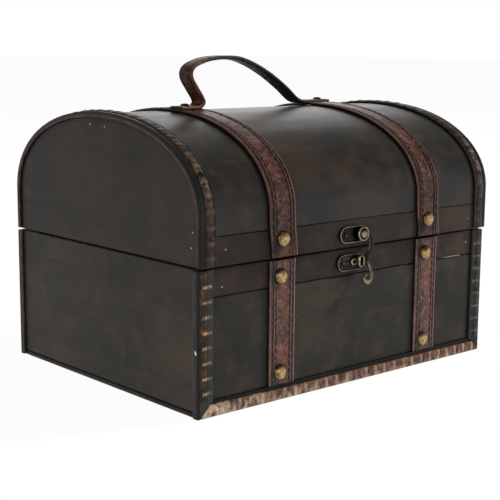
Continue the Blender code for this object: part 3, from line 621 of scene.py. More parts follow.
def strap_relief(seed, distance, a, h):
    """Two pressed stitch lines with a rope between them, a raised edge and a wrinkled middle."""
    inset = STRAP_HALF - np.abs(a)
    inner = 0.22 + 0.45 * stitches(distance, INNER_STITCH_SHIFT)
    lines = smooth_pulse(inset, OUTER_STITCH, 0.34) * (0.25 + 0.4 * stitches(distance))
    lines += smooth_pulse(inset, INNER_STITCH, 0.36) * inner
    rope = 0.28 * smooth_pulse(inset, ROPE, 0.62) + 0.12 * smooth_pulse(inset, 1.3, 0.8)
    spots = stacked(a, distance, seed)
    wrinkle = 0.17 * wobble(spots, 6.5) + 0.1 * wobble(spots * (0.35, 1, 1), 2.4)
    wrinkle *= np.clip((inset - 4.6) / 1.5, 0.25, 1)
    return np.where(h > 1.5, rope - lines + wrinkle, 0)


def strap_masks(distance, a, h, dark_spots):
    inset = STRAP_HALF - np.abs(a)
    inner = 0.35 + 0.6 * stitches(distance, INNER_STITCH_SHIFT)
    groove = smooth_pulse(inset, OUTER_STITCH, 0.6) * (0.4 + 0.55 * stitches(distance))
    groove = np.maximum(groove, smooth_pulse(inset, INNER_STITCH, 0.55) * inner)
    # Rubbed edges and rope, partly a painted highlight.
    worn_and_highlight = np.maximum(smooth_pulse(inset, 0.45, 0.45), 0.45 * smooth_pulse(inset, ROPE, 0.35))
    # Dark spots at the listed places, each fading out over its radius.
    dark_spot = np.zeros_like(a)
    for place, side, radius in dark_spots:
        spread = ((distance - place) ** 2 + (a - side) ** 2) / radius**2
        dark_spot = np.maximum(dark_spot, 0.85 * np.exp(-(spread**1.5)))
    # Below the top the sides are darkened too: partly painted shade, partly the dark cut edge.
    above = h > 1.3
    return {
        "groove": np.where(above, groove, 0.95),
        "worn_and_highlight": np.where(above, worn_and_highlight, 0),
        "flank": unit((5.4 - inset) / 0.8),
        "dark_spot": np.where(above, dark_spot, 0),
    }


def strap(name, node, path, seed, drift=0.0, dark_spots=()):
    """A strap with slightly ragged edges; drift is how far its start lies to the right."""
    body = node.split("_")[0]

    def shift(distance):
        return drift * smooth_pulse(distance, 0, DRIFT_LENGTH)

    def ragged(distance, a):
        edges = stacked(np.sign(a) * 7, distance, seed)
        return a * (1 + 0.012 * wobble(edges, 14)) + shift(distance)

    relief = partial(strap_relief, seed)
    grid, distance, a, h = sweep(path, (1, 0, 0), strap_ring(), 0.55, relief, taper=ragged)
    mesh = grid_mesh(name, grid, strap_masks(distance, a - shift(distance), h, dark_spots), 60)
    new_piece(mesh, STRAP_LID if body == "lid" else STRAP, body, node)


def straps():
    """Over the lid each strap runs true, and drifts to the right near its front end."""
    for index, label in enumerate(("left", "right")):
        node = f"lid_{label}_strap"
        x = middle(node)[0]
        drift = 1.1 * (middle(f"base_{label}_strap_front")[0] - x)
        path = arch_path(x, low(node).z)
        strap(f"{label}_strap_over_lid", node, path, 11 + index, drift, LID_DARK_SPOTS)
        for side, outward, face, dark_spots in (
            ("front", -1, base_front, FRONT_DARK_SPOTS),
            ("back", 1, base_back, ()),
        ):
            node = f"base_{label}_strap_{side}"
            x = middle(node)[0]
            path = straight_path((x, face, high(node).z), (x, face, low(node).z), (0, outward, 0))
            strap(f"{label}_strap_{side}", node, path, 21 + index * 3 + outward, dark_spots=dark_spots)


# Embossed trim

POST = "base_right_corner_trim"
post_edge = high(POST).x
post_width = post_edge - low(POST).x
post_top, post_foot = high(POST).z, low(POST).z
foot_width = high("base_bottom_trim").z - post_foot
FOOT_STRIP_INSET = 0.4


@dataclass
class Emboss:
    """A strip with a pressed pattern: a bead, ribs across it, lines darkened by painted shade and pale rims
    beside it.

    Places across are counted in millimetres from its outer edge, places along it from its start.
    A line is (place, breadth, depth). The fold is how far the strip reaches down the end board.
    Reach holds the pattern's start and end, wave bends the ribs, girth is their breadth, dig the lines'
    depth and pit the painted shade beside a rib; pale and worn tell where the strip is paler: rubbed on the
    lid strip; on the foot strip towards its start, and along its lower edge as a painted reflection of the
    floor.
    """

    width: float
    fold: float
    bead: tuple
    ribs: tuple
    rib_start: float
    bead_rise: float
    rib_rise: float
    lines: tuple
    rims: tuple = ()
    pitch: float = 8.83
    wave: float = 0.5
    girth: float = 0.8
    dig: float = 0.35
    reach: tuple = (-9, 999)
    pale_end: float = 0.0
    worn_place: float = 0.0
    worn_spread: float = 0.0
    pit: float = 0.5

    def ring(self):
        """The strip's section from its outer edge inward."""
        width, fold = self.width, self.fold
        if fold:
            ring = [(1.2, 0.25 - fold), (1.0, -fold), (0.25, -fold), (0.0, 0.3 - fold)]
            ring += [(0.0, h) for h in np.arange(0.8 - fold, 0.3, 0.5)]
            ring += [(0.03, 0.55), (0.15, 0.95), (0.4, 1.25), (0.75, 1.4)]
        else:
            ring = [(0, 0.4), (0.0, 0.8), (0.1, 1.1), (0.3, 1.28), (0.6, 1.38)]
        ring += [(a, 1.4) for a in np.arange(1.0, width - 0.55, 0.3)]
        ring += [(width - 0.45, 1.38), (width - 0.2, 1.25), (width - 0.05, 1.0), (width, 0.75)]
        ring += [(width, 0.42), (width - 0.2, 0.34), (width / 2, 0.32), (1.5, 0.32)]
        return ring + [(1.24, 0.28)] if fold else ring

    def shares(self, seed, distance, a):
        """How much of the bead, of a rib, of the dip beside a rib and of the lines each point has."""
        spots = stacked(a, distance, seed)
        warped = distance + self.wave * wobble(spots * (0.5, 0.5, 1), 5)
        start, end = self.bead
        centre, half = (start + end) / 2, (end - start) / 2
        within = unit((self.reach[1] - distance) / 1.5)
        bead = np.sqrt(unit(1 - ((a - centre) / half) ** 2)) * within
        turn = (warped - self.rib_start) / self.pitch
        nearest = (turn - np.round(turn)) * self.pitch
        across = unit((a - self.ribs[0]) / 0.4) * unit((self.ribs[1] - a) / 0.4)
        across = across * within * (distance > self.reach[0])
        fade = 0.8 + 0.5 * wobble(stacked(np.round(turn) * 9.1 + seed, 0, a * 0.2), 1.0)
        rib = smooth_pulse(nearest, 0, self.girth) * across * np.clip(fade, 0.35, 1.2)
        beside = smooth_pulse(np.abs(nearest), self.girth + 0.9, 0.6) * across
        line = sum(depth * smooth_pulse(a, place, breadth) for place, breadth, depth in self.lines)
        return spots, bead, rib, beside, line

    def relief(self, seed, distance, a, h):
        spots, bead, rib, beside, line = self.shares(seed, distance, a)
        rise = self.bead_rise * bead * (1 - 0.35 * beside) + self.rib_rise * rib
        rise += 0.12 * wobble(spots, 2.2) * (0.4 + bead) - self.dig * line
        rise += sum(0.2 * smooth_pulse(a, place, 0.5) for place in self.rims)
        return np.where(h > 1.36, rise, 0)

    def masks(self, seed, distance, a, h):
        spots, bead, rib, beside, line = self.shares(seed, distance, a)
        above = h > 1.2
        corner, raw, pale = np.zeros_like(h), np.zeros_like(h), np.zeros_like(h)
        if self.fold:
            # The fold's rounded corner is painted dark as shade.
            corner = 0.95 * smooth_pulse(h, 0.5, 1.0) * (a < 1.3)
            raw = unit((1.5 - (h + self.fold)) / 0.5)
        rim = sum((smooth_pulse(a, place, 0.35) for place in self.rims), np.zeros_like(a))
        # On the foot strip the start is paler, and the patchy pale band along the lower edge is a painted
        # reflection of the floor.
        if self.pale_end:
            share = 1.05 - distance / self.pale_end + 0.6 * wobble(spots, 9) - 0.12 * (a - 3)
            edge = 0.7 * unit((3.2 - a) / 1.6) * unit(0.7 + wobble(spots, 5))
            pale = np.maximum(unit(share), edge) * unit((7.7 - a) / 0.6)
        if self.worn_spread:
            near = smooth_pulse(distance, self.worn_place, self.worn_spread)
            pale = 0.55 * near * unit(bead * 1.6 - 0.6) * (1 - 0.5 * beside)
        return {
            "bead": np.where(above, unit(bead * 2), 0),
            "rib": np.where(above, rib, 0),
            "rim": np.where(above, rim * (0.5 + 0.5 * wobble(spots, 4)), 0),
            "pale": np.where(h > 0.6, pale, 0),
            # Painted shade in the dips beside the ribs, in the pressed lines and round the fold's corner;
            # along the foot strip's top it adds to the strip's own dark.
            "pit": unit(np.where(above, self.pit * beside * bead + line, corner)),
            "raw": np.where(h < 0.3, raw, 0),
        }


LID_STRIP = Emboss(
    width=11.8,
    fold=2.0,
    bead=(3.9, 9.9),
    ribs=(4.2, 10.9),
    rib_start=4.6,
    bead_rise=0.6,
    rib_rise=0.4,
    lines=((3.3, 0.6, 0.9), (0.4, 0.7, 0.8), (10.0, 0.3, 0.4)),
    rims=(11.3,),
    wave=0.9,
    girth=1.3,
    worn_place=47,
    worn_spread=12,
    pit=0.3,
)
CORNER_STRIP = Emboss(
    width=post_width,
    fold=high(POST).y - base_front,
    bead=(0.8, 6.2),
    ribs=(2.2, 9.9),
    rib_start=9.11,
    bead_rise=0.55,
    rib_rise=0.45,
    lines=((0.5, 0.5, 0.95), (6.3, 0.3, 0.5)),
    pitch=8.78,
    reach=(5, 75.5),
)
FOOT_STRIP = Emboss(
    width=foot_width,
    fold=0.0,
    bead=(0.2, 7.2),
    ribs=(0.4, 7.0),
    rib_start=3.0,
    bead_rise=0.6,
    rib_rise=0.35,
    lines=((8.6, 1.3, 1.1),),
    wave=0.9,
    girth=1.3,
    dig=0.8,
    pale_end=95,
    pit=0.28,
)


def post_mitre(a):
    """How far a corner strip is cut back, to meet the foot strip at a slant."""
    return np.clip(a, 0, post_width) * foot_width / post_width


def foot_mitre(a):
    return np.clip(a, 0, foot_width) * post_width / foot_width


def trim_strip(name, node, body, path, across, emboss, leather, seed, **cuts):
    relief = partial(emboss.relief, seed)
    grid, distance, a, h = sweep(path, across, emboss.ring(), 0.5, relief, **cuts)
    mesh = grid_mesh(name, grid, emboss.masks(seed, distance, a, h), 70)
    new_piece(mesh, leather, body, node)


def trims():
    """The lid's two edges, the base's four corners, and the strip along its front and back foot."""
    faces = ((base_front, -1, ""), (base_back, 1, "back_"))
    for label, side in (("left", -1), ("right", 1)):
        node = f"lid_{label}_trim"
        edge = high(node).x if side > 0 else low(node).x
        path, inward = arch_path(edge, low(node).z), (-side, 0, 0)
        leather = TRIM_LID if side < 0 else TRIM_FAR
        trim_strip(f"{label}_lid_edge_trim", node, "lid", path, inward, LID_STRIP, leather, 31 + side)
        edge = side * post_edge
        leather = TRIM if side < 0 else TRIM_GREY
        for face, outward, back in faces:
            path = straight_path((edge, face, post_top), (edge, face, post_foot), (0, outward, 0))
            name, node = f"{back}{label}_corner_trim", None if back else f"base_{label}_corner_trim"
            seed = 35 + side + 5 * (outward + 1)
            trim_strip(name, node, "base", path, inward, CORNER_STRIP, leather, seed, end_cut=post_mitre)
    cuts = {"start_cut": foot_mitre, "end_cut": foot_mitre}
    end = post_edge - FOOT_STRIP_INSET
    for face, outward, back in faces:
        path = straight_path((-end, face, post_foot), (end, face, post_foot), (0, outward, 0))
        name, node = f"{back}bottom_trim", None if back else "base_bottom_trim"
        trim_strip(name, node, "base", path, (0, 0, 1), FOOT_STRIP, TRIM_LOW, 41 + outward, **cuts)


# Handle

HANDLE_PATH_SHARES = (
    (-0.595, 0.0), (-0.52, 0.0), (-0.464, 0.007), (-0.435, 0.081), (-0.448, 0.189), (-0.489, 0.391),
    (-0.52, 0.566), (-0.524, 0.707), (-0.498, 0.828), (-0.43, 0.929), (-0.352, 0.983), (-0.262, 1.0),
    (-0.162, 0.98), (-0.059, 0.869), (0.035, 0.717), (0.131, 0.522), (0.23, 0.283), (0.318, 0.067),
    (0.381, 0.008), (0.454, 0.0), (0.599, 0.0),
)
HANDLE_SPAN = 127.8
HANDLE_RISE = 29.7
HANDLE_SKEW = math.radians(9)
HANDLE_HALF = 5.5
HANDLE_THICK = 2.2
HANDLE_ROUND = 0.9
HANDLE_STITCH = 1.9

# Height of the feet's middle over their underside, and how far they and their nails are pressed in
FOOT_MIDDLE = 1.2
FOOT_SINK = 1.1


def handle():
    """The carrying handle: a stitched strip that leans between its two flat feet."""
    sinks = [FOOT_SINK * max(0, 1 - 4 * z) for _, z in HANDLE_PATH_SHARES]
    plan = [(x * HANDLE_SPAN, z * HANDLE_RISE - sink) for (x, z), sink in zip(HANDLE_PATH_SHARES, sinks)]
    flat = smooth_line(plan, 10)
    x = (low("lid_left_strap").x + high("lid_right_strap").x) / 2
    z = low("carry_handle").z + FOOT_MIDDLE
    cos, sin = math.cos(HANDLE_SKEW), math.sin(HANDLE_SKEW)
    points = stacked(x + flat[:, 0] * cos, lid_middle + flat[:, 0] * sin, z + flat[:, 1])
    along = directions(flat)
    path = Path(points, stacked(-along[:, 1] * cos, -along[:, 1] * sin, along[:, 0]))
    half, thick = HANDLE_HALF, HANDLE_THICK / 2
    straight = half - HANDLE_ROUND
    turns = np.linspace(1.35, 0.25, 5)
    right = [(straight + math.cos(turn) * HANDLE_ROUND, math.sin(turn) * 0.95 * thick) for turn in turns]
    top = mirrored(right) + [(a, thick) for a in np.linspace(-straight, straight, 29)] + right

    def relief(distance, a, h):
        spots = stacked(a, distance, np.sign(h) * 9)
        line = smooth_pulse(half - np.abs(a), HANDLE_STITCH, 0.3) * (0.15 + 0.25 * stitches(distance))
        grain = 0.1 * wobble(spots, 5) + 0.06 * wobble(spots, 2)
        rise = 0.2 * (1 - (a / half) ** 2) - line + grain
        return np.sign(h) * np.where(np.abs(h) > thick * 0.97, rise, 0)

    def uneven(distance, a):
        return a * (1 + 0.03 * np.sin(distance / 17))

    ring = top + [(a, -h) for a, h in top[::-1]]
    grid, distance, a, h = sweep(path, (-sin, cos, 0), ring, 0.7, relief, taper=uneven)
    inset, share = half - np.abs(a), distance / path.length
    # Worn pales the left leg's edges, partly as a painted sheen; under darkens the strip's underside as
    # painted shade, and turns the leather to its own grey from just past the left leg's top.
    masks = {
        "groove": smooth_pulse(inset, HANDLE_STITCH, 0.35) * 0.6,
        "worn_and_highlight": smooth_pulse(inset, 0.3, 0.6) * 0.5 * (share < 0.28),
        "under": np.maximum(0.9 * unit(0.5 - h / thick), np.clip(share * 9 - 2.35, 0, 0.92)),
    }
    mesh = grid_mesh("handle_strip", grid, masks, 60)
    new_piece(mesh, GRIP, "lid", "carry_handle")


# Nails

NAIL_DOME = 2.7
HANDLE_NAIL_DOME = 1.2


def domed_head(name, radius, dome, sunk, sides, tarnish, dents=0.0, seed=0.0):
    """A turned head about +Z, its dome above zero and its rim sunk below.

    Tarnish is the share of the radius where the dark rim starts.
    """
    turns = np.linspace(0, math.pi / 2, 13)[1:]
    profile = [(radius * math.sin(turn) ** 0.94, dome * math.cos(turn) ** 1.05) for turn in turns]
    profile += [(radius * 0.99, -sunk * 0.6), (radius * 0.93, -sunk)]
    angles = full_circle(sides)
    grid = np.array([stacked(r * np.cos(angles), r * np.sin(angles), z) for r, z in profile])
    reach = np.linalg.norm(grid[..., :2], axis=-1)
    grid[..., 2] += dents * wobble(grid, 1.9, seed) * unit(1 - reach / 5.2)
    points = np.concatenate([grid.reshape(-1, 3), [(0, 0, dome), (0, 0, -sunk)]])
    faces = ring_faces(len(grid), sides, capped=False)
    top = len(grid) * sides
    last_ring = top - sides
    for k in range(sides):
        after = (k + 1) % sides
        faces += [[top, k, after], [top + 1, last_ring + after, last_ring + k]]
    edge = unit((reach / reach.max() - tarnish) / (1 - tarnish))
    patch = unit(wobble(grid, 2.4, seed + 4) * 2.2 - 0.3)
    masks = {"tarnish": np.concatenate([np.maximum(edge, patch * 0.7).ravel(), [0, 1]])}
    return mesh_of(name, points, faces, masks, 50)


def aim(place, outward, spin=0.0):
    """The matrix that turns +Z outward at a place in millimetres."""
    turn = Vector(outward).to_track_quat("Z", "Y").to_matrix().to_4x4()
    return Matrix.Translation(Vector(place) * MM) @ turn @ Matrix.Rotation(spin, 4, "Z")


def nails():
    """The dome nails of the straps, and the flatter ones of the handle's feet."""
    for name in NODES:
        if not name.endswith("nail"):
            continue
        lowest, highest = low(name), high(name)
        x, y, z = middle(name)
        seed = len(name) + lowest.x * 0.37 + lowest.z * 0.11
        body = "base" if name.startswith("base") else "lid"
        dome, metal, outward = NAIL_DOME, BRASS, (0, 1, 0)
        if name.startswith("handle"):
            dome, metal, outward = HANDLE_NAIL_DOME, DULL_BRASS, (0, 0, 1)
            z = highest.z - dome - FOOT_SINK
        elif "front" in name:
            outward = (0, -1, 0)
            y = lowest.y + dome
        else:
            y = highest.y - dome
        mesh = domed_head(name + "_head", size(name)[0] / 2, dome, 0.42, 40, 0.72, 0.14, seed)
        new_piece(mesh, metal, body, name, aim((x, y, z), outward, seed))


# Latch

# Sections from the rim inward: (inset, height over the back)
PLATE_RINGS = (
    (0.35, 0.0), (0.0, 0.3), (0.0, 1.05), (0.08, 1.36), (0.24, 1.52), (0.44, 1.54), (0.6, 1.4),
    (0.68, 1.1), (0.74, 0.8), (0.95, 0.66), (1.7, 0.64), (2.6, 0.7), (3.6, 0.76), (4.4, 0.8),
)
KNOB_RINGS = (
    (1.1, -2.6), (1.1, 0.0), (0.5, 0.02), (0.05, 0.3), (0.0, 0.9), (0.05, 1.7), (0.3, 2.3),
    (0.55, 2.62), (0.8, 2.6), (1.0, 2.25), (1.1, 1.5), (1.3, 1.2), (2.3, 1.1),
)
KNOB_HEAD = 2.6
RIVET_DOME = 1.5
PLATE_PIN_DOME = 0.7

# The hook, from its pivot: its arm as (x, z) with widths along it, its eye as (radius, height over its
# middle), its tail and ball as places with radii along them
HOOK_THICK = 1.7
HOOK_GAP = 0.3
BAR_POWER = 0.62
HOOK_ARM = ((2.6, 2.4), (5.2, 0.4), (6.9, -3.4), (8.0, -7.6), (7.3, -11.3), (5.3, -13.4), (3.2, -14.3))
ARM_WIDTHS = ((0, 0.2, 0.45, 0.65, 0.85, 1), (1.8, 3.4, 4.3, 4.1, 2.9, 1.5))
HOOK_EYE = (
    (1.5, -0.85), (4.4, -0.85), (4.7, -0.5), (4.7, 0.7), (4.62, 1.15), (4.35, 1.5), (4.0, 1.6),
    (3.65, 1.45), (3.45, 1.1), (3.35, 0.85), (1.5, 0.8),
)
HOOK_TAIL = (
    (5.6, 0.1, -12.2), (5.2, 0.0, -15.0), (5.0, 0.0, -17.7), (5.5, -0.9, -20.4), (5.7, -1.9, -22.8),
    (5.1, -2.9, -25.3), (3.8, -3.4, -28.2), (1.5, -3.4, -29.6), (-0.6, -3.3, -28.6),
    (-0.9, -3.1, -26.8), (0.4, -2.9, -25.6), (1.8, -2.9, -26.1),
)
TAIL_RADII = (
    (0, 0.18, 0.3, 0.42, 0.55, 0.66, 0.74, 0.82, 0.9, 1),
    (1.0, 0.95, 1.15, 1.35, 1.6, 2.35, 1.85, 1.25, 0.9, 0.65),
)
# Tarnish along the tail, its dark start a painted shadow.
TAIL_TARNISH_AND_SHADOW = ((0, 0.16, 0.26, 0.6, 1), (0.99, 0.95, 0.3, 0.15, 0.2))

# The scroll: an open oval, by its half-width, its half-height, its two ends and the radii along it
SCROLL_WIDE = 1.9
SCROLL_HIGH = 1.5
SCROLL_ENDS = (math.radians(40), math.radians(320))
SCROLL_RADII = ((0, 0.5, 1), (0.85, 0.65, 0.85))


def obround(length, height, rings):
    """A slot-shaped dish of (inset, height) rings, and the inset of each of its points."""
    reach = (length - height) / 2
    angles = np.linspace(-math.pi / 2, math.pi / 2, 18)
    grid = []
    for inset, rise in rings:
        radius = height / 2 - inset
        right = [(reach + radius * math.cos(a), radius * math.sin(a), rise) for a in angles]
        grid.append(right + [(-x, -y, z) for x, y, z in right])
    return np.array(grid), np.repeat([[inset] for inset, _ in rings], 2 * len(angles), axis=1)


def cast_piece(node, body, grid, tarnish, y, metal, shine=1.0):
    """A dish in the CAD node's place that faces the front, with its heights counted from y."""
    x, _, z = middle(node)
    mesh = grid_mesh(node + "_cast", grid, {"tarnish": tarnish}, 50)
    mark_relief(mesh, shine=shine)
    matrix = Matrix.Translation(Vector((x, y, z)) * MM) @ Matrix.Rotation(math.pi / 2, 4, "X")
    new_piece(mesh, metal, body, node, matrix)


def latch_plate(node, body):
    """A slot-shaped plate with a rounded rim; the lower one is rougher and duller."""
    rough = "lower" in node
    length, _, height = size(node)
    grid, inset = obround(length, height, [*PLATE_RINGS, (height / 2 - 0.12, 0.8)])
    if rough:
        grid[..., 2] += np.where(inset > 1.4, 0.22 * wobble(grid, 1.6, 3.0), 0)
    outer_wall = (inset < 0.5) * (grid[..., 2] < 1.4) * 0.9
    patch = np.clip(0.35 + 0.06 * grid[..., 0] + 0.5 * wobble(grid, 4, 2.0), 0, 0.75)
    tarnish = np.maximum(np.maximum(unit((inset - 0.55) / 0.12), outer_wall), patch)
    if rough:
        tarnish *= np.clip(1.0 - 0.8 * wobble(grid, 1.3, 8.0), 0.5, 1)
    metal = DULL_BRONZE if rough else BRONZE
    cast_piece(node, body, grid, tarnish, high(node).y, metal, 1 - outer_wall.ravel())


def latch_domes():
    """The hook's rivet and the pins of the two plates."""
    for node, body, dome, metal in (
        ("latch_pivot_rivet", "lid", RIVET_DOME, BRONZE),
        ("latch_upper_pin", "lid", PLATE_PIN_DOME, DARK_BRONZE),
        ("latch_lower_pin", "base", PLATE_PIN_DOME, DARK_BRONZE),
    ):
        x, _, z = middle(node)
        mesh = domed_head(node + "_head", size(node)[0] / 2, dome, 0.3, 36, 0.7)
        matrix = aim((x, low(node).y + dome, z), (0, -1, 0))
        new_piece(mesh, metal, body, node, matrix)


def catch_knob():
    """The upright lug: a raised rim round a dark slot, on a short neck."""
    width, _, height = size("catch_knob")
    grid, inset = obround(height, width, KNOB_RINGS)
    grid = stacked(-grid[..., 1], grid[..., 0], grid[..., 2])
    slot = unit((inset - 0.9) / 0.2) * (grid[..., 2] > 1)
    tarnish = np.maximum(slot, 0.6 * (grid[..., 2] < 1.5))
    cast_piece("catch_knob", "base", grid, tarnish, low("catch_knob").y + KNOB_HEAD, BRONZE)


def sweep_tube(points, radii, sides=18):
    """A round bar along points in space, its radius given at each point."""
    along = directions(points)
    side = np.cross(along, (0, 1, 0))
    side /= np.linalg.norm(side, axis=1, keepdims=True)
    up = np.cross(side, along)
    turns = full_circle(sides)[:, None]
    offsets = side[:, None] * np.cos(turns) + up[:, None] * np.sin(turns)
    return points[:, None] + offsets * radii[:, None, None]


def flat_bar(line, widths, thick, angles):
    """A bar along a line in the XZ plane: its section is wide across and thin along Y, edges rounded."""
    along = directions(line)
    across = stacked(along[:, 1], -along[:, 0])
    a, b = squared_off(np.cos(angles), BAR_POWER), squared_off(np.sin(angles), BAR_POWER)
    spread = across[:, None] * (a * widths[:, None] / 2)[..., None]
    return stacked(line[:, None, 0] + spread[..., 0], b * thick / 2, line[:, None, 1] + spread[..., 1])


def latch_hook():
    """The cast hook: a rimmed eye, a crescent that bows to the right, and a tail that curls round."""
    x, _, z = middle("latch_pivot_rivet")
    front = low("latch_pivot_rivet").y + RIVET_DOME + HOOK_GAP
    centre = np.array([x, front + HOOK_THICK / 2, z])
    points, faces, tarnish = [], [], []

    def add(grid, dark, loop=False):
        start = sum(len(block) for block in points)
        points.append((grid + centre).reshape(-1, 3))
        tarnish.append(np.broadcast_to(dark, grid.shape[:2]).ravel())
        for face in ring_faces(*grid.shape[:2], loop=loop):
            faces.append([index + start for index in face])

    line = smooth_line(HOOK_ARM, 8)
    angles = full_circle(28)
    arm = flat_bar(line, spread_over(line, *ARM_WIDTHS), HOOK_THICK, angles)
    # The arm's inner edge is left less tarnished: a painted highlight.
    add(arm, 0.985 - 0.3 * unit((np.cos(angles) - 0.6) / 0.3))
    radius, height = np.array(HOOK_EYE).T
    turns = full_circle(48)[:, None]
    eye = stacked(radius * np.cos(turns), -height, radius * np.sin(turns))
    add(eye, np.where((radius < 3.6) | (height < 1), 0.95, 0.0), loop=True)
    line = smooth_line(HOOK_TAIL, 6)
    tail = sweep_tube(line, spread_over(line, *TAIL_RADII))
    add(tail, spread_over(line, *TAIL_TARNISH_AND_SHADOW)[:, None])
    dark = np.concatenate(tarnish)
    mesh = mesh_of("latch_hook_cast", np.concatenate(points), faces, {"tarnish": dark}, 55)
    mark_relief(mesh, 0.8, 1 - unit(1.15 * dark))
    new_piece(mesh, BRONZE, "hook", "latch_hook")


def catch_scroll():
    """The small raised scroll between the lower plate's slot and the lug."""
    plate = "latch_lower_plate"
    x, z = low("catch_knob").x - 1.2, middle(plate)[2] + 0.2
    angles = np.linspace(*SCROLL_ENDS, 22)
    line = stacked(x + SCROLL_WIDE * np.cos(angles), low(plate).y - 0.2, z + SCROLL_HIGH * np.sin(angles))
    grid = sweep_tube(line, spread_over(line, *SCROLL_RADII), 14)
    mesh = grid_mesh("catch_scroll", grid, sharp=60)
    mark_relief(mesh)
    new_piece(mesh, BRONZE, "base")


# Small marks: pin nails in the boards, a pale spot and a pale line

# Places as (x, z) on the front, and as (distance behind the base's front, z) on the ends
LID_FRONT_PINS = ((-115.3, 97.1), (-105.7, 96.1), (108.2, 94.3))
BASE_FRONT_PINS = ((-106.7, 74.8), (108.6, 78.1))
END_PINS = ((105.5, 160.7), (90.0, 160.1), (5.4, 106.6), (6.7, 97.8))
PIN_RADIUS = 0.62
PIN_FLATNESS = 0.35
PALE_SPOT_PLACE = (1.0, 39.1)
PALE_SPOT_SIZE = (0.8, 1.35, 0.2)
PALE_SPOT_TILT = 0.35
PALE_LINE = ((83.3, 69.9), (90.0, 69.7), (97.0, 69.6), (103.3, 69.3))


def finished(name, shape):
    """The smooth-shaded mesh of a shape that bmesh has built."""
    mesh = bpy.data.meshes.new(name)
    shape.to_mesh(mesh)
    shape.free()
    mesh.shade_smooth()
    return mesh


def pin_heads():
    """Tiny bright heads of the nails that hold the boards, joined to one mesh for each body."""
    ends = [
        ((side * half_length, base_front + y, z), (side, 0, 0)) for y, z in END_PINS for side in (-1, 1)
    ]
    front = [((x, lid_front, z), (0, -1, 0)) for x, z in LID_FRONT_PINS]
    low_front = [((x, base_front, z), (0, -1, 0)) for x, z in BASE_FRONT_PINS]
    flat = Matrix.Diagonal((1, 1, PIN_FLATNESS, 1))
    for body, spots in (("lid", ends + front), ("base", low_front)):
        shape = bmesh.new()
        for place, outward in spots:
            made = bmesh.ops.create_uvsphere(shape, u_segments=12, v_segments=6, radius=PIN_RADIUS * MM)
            bmesh.ops.transform(shape, matrix=aim(place, outward) @ flat, verts=made["verts"])
        new_piece(finished(body + "_pin_heads", shape), PIN, body)


def corner_pale_spot():
    """A small pale spot on the left corner."""
    shape = bmesh.new()
    bmesh.ops.create_icosphere(shape, subdivisions=3, radius=MM)
    for vertex in shape.verts:
        vertex.co *= 1 + 0.25 * noise.noise(vertex.co / MM * 1.3)
    place = (low("base_left_corner_trim").x, base_front + PALE_SPOT_PLACE[0], PALE_SPOT_PLACE[1])
    matrix = aim(place, (-1, 0, 0), PALE_SPOT_TILT) @ Matrix.Diagonal((*PALE_SPOT_SIZE, 1))
    bmesh.ops.transform(shape, matrix=matrix, verts=shape.verts)
    new_piece(finished("corner_pale_spot", shape), PALE_WOOD, "base")


def panel_pale_line():
    """A fine pale line beside the right strap."""
    line = smooth_line([(x, base_front + 0.05, z) for x, z in PALE_LINE], 8)
    radii = 0.02 + 0.07 * np.sin(np.linspace(0, math.pi, len(line))) ** 0.7
    mesh = grid_mesh("panel_pale_line", sweep_tube(line, radii, 8), sharp=60)
    new_piece(mesh, PALE_WOOD, "base")


# Stage, lights and camera: places and sizes in metres, powers in watts

FLOOR_REACH = 14
FLOOR_TONE = 0.86
FLOOR_WHITE_SHARE = 0.96
WHITE = (1, 1, 1, 1)

# Between these heights the sky falls off to its top strength; the fill share of it lights the object
SKY_RANGE = (0.1, 0.54)
SKY_TOP = 0.22
SKY_FILL = 0.3
LAMP_TARGET = (0, 0, 0.08)


def floor_material():
    """Almost pure white as the camera and reflections see it, with a little of the object's shadow."""
    recipe = Recipe(bpy.data.materials.new("floor_white"), Roughness=0.9)
    recipe.shade(Base_Color=(FLOOR_TONE, FLOOR_TONE, FLOOR_TONE, 1))
    path = recipe.node("LightPath").outputs
    seen = recipe.maths("MAXIMUM", path["Is Camera Ray"], path["Is Glossy Ray"])
    seen = recipe.maths("MAXIMUM", seen, path["Is Transmission Ray"])
    share = recipe.maths("MULTIPLY", seen, FLOOR_WHITE_SHARE)
    values = {"Fac": share, 1: recipe.shader.outputs[0], 2: recipe.node("Emission").outputs[0]}
    both = recipe.node("MixShader", values).outputs[0]
    recipe.put(recipe.tree.nodes["Material Output"], {"Surface": both})
    return recipe.owner


def floor():
    mesh = bpy.data.meshes.new("floor")
    corners = [(x * FLOOR_REACH, y * FLOOR_REACH, 0) for x, y in ((-1, -1), (1, -1), (1, 1), (-1, 1))]
    mesh.from_pydata(corners, [], [(0, 1, 2, 3)])
    mesh.materials.append(floor_material())
    new_object("floor", mesh)


def sky():
    """White to the camera, bright low down and dim above in reflections, and weaker as a light."""
    world = bpy.data.worlds.new("studio")
    bpy.context.scene.world = world
    recipe = Recipe(world, "Background", Color=WHITE)
    path = recipe.node("LightPath").outputs
    direction = recipe.node("TexCoord").outputs["Generated"]
    height = recipe.node("SeparateXYZ", {0: direction}).outputs["Z"]
    strength = recipe.level(height, *SKY_RANGE, 1.0, SKY_TOP)
    share = recipe.level(path["Is Glossy Ray"], 0, 1, SKY_FILL, 1.0)
    dimmed = recipe.maths("MULTIPLY", strength, share)
    recipe.shade(Strength=recipe.maths("MAXIMUM", path["Is Camera Ray"], dimmed))


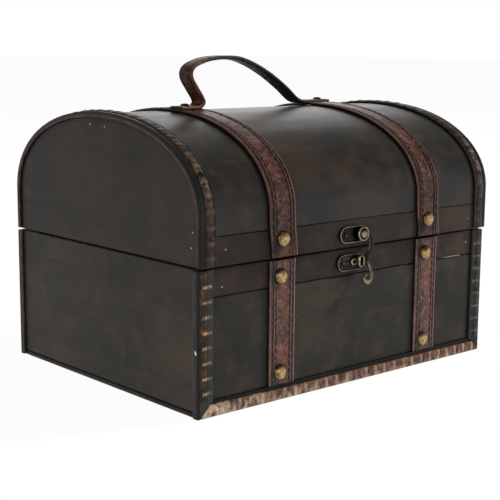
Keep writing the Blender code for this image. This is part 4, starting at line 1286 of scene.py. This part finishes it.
def lamp(name, place, width, power, glare=True):
    """A round lamp that looks at the object; without glare it stays out of reflections."""
    data = bpy.data.lights.new(name, "AREA")
    data.shape = "DISK"
    data.size = width
    data.energy = power
    thing = new_object(name, data)
    thing.location = place
    thing.visible_glossy = glare
    thing.rotation_mode = "QUATERNION"
    thing.rotation_quaternion = (Vector(LAMP_TARGET) - Vector(place)).to_track_quat("-Z", "Y")


def lights():
    lamp("key", (2.0, -0.85, 1.8), 0.5, 155, glare=False)
    lamp("top_soft", (-0.1, 0.25, 1.5), 1.3, 2.5)
    lamp("left_soft", (-1.6, -0.4, 0.7), 1.0, 8)
    lamp("front_soft", (-0.2, -1.7, 0.7), 1.0, 0.6)
    lamp("back_soft", (0.95, 1.05, 0.76), 0.85, 2.6)


# The camera's place in millimetres, its turns in radians, its focal length in pixels of the photograph
CAMERA_PLACE = (-523.92, base_front - 500.106, 209.68)
CAMERA_YAW = 0.719138
CAMERA_PITCH = 0.172924
CAMERA_ROLL = 0.007917
CAMERA_FOCAL_PIXELS = 1182.05
FRAME_PIXELS = 500
SENSOR_WIDTH = 36
FAR_LIMIT = 60


def camera():
    """The photograph's viewpoint, worked out from the box's corners in it."""
    yaw, pitch, roll = CAMERA_YAW, CAMERA_PITCH, CAMERA_ROLL
    forward = Vector((math.sin(yaw) * math.cos(pitch), math.cos(yaw) * math.cos(pitch), -math.sin(pitch)))
    right = Vector((math.cos(yaw), -math.sin(yaw), 0))
    up = right.cross(forward)
    turned_right = right * math.cos(roll) + up * math.sin(roll)
    turned_up = -right * math.sin(roll) + up * math.cos(roll)
    matrix = Matrix((turned_right, turned_up, -forward)).transposed().to_4x4()
    matrix.translation = Vector(CAMERA_PLACE) * MM
    data = bpy.data.cameras.new("photo_view")
    data.sensor_width = SENSOR_WIDTH
    data.lens = CAMERA_FOCAL_PIXELS / FRAME_PIXELS * SENSOR_WIDTH
    data.clip_end = FAR_LIMIT
    thing = new_object("photo_view", data)
    thing.matrix_world = matrix
    bpy.context.scene.camera = thing


dress_boards()
lid_skin()
straps()
trims()
nails()
handle()
latch_plate("latch_upper_plate", "lid")
latch_plate("latch_lower_plate", "base")
latch_domes()
catch_knob()
latch_hook()
catch_scroll()
pin_heads()
corner_pale_spot()
panel_pale_line()
floor()
sky()
lights()
camera()
bpy.context.scene.view_settings.view_transform = "Standard"
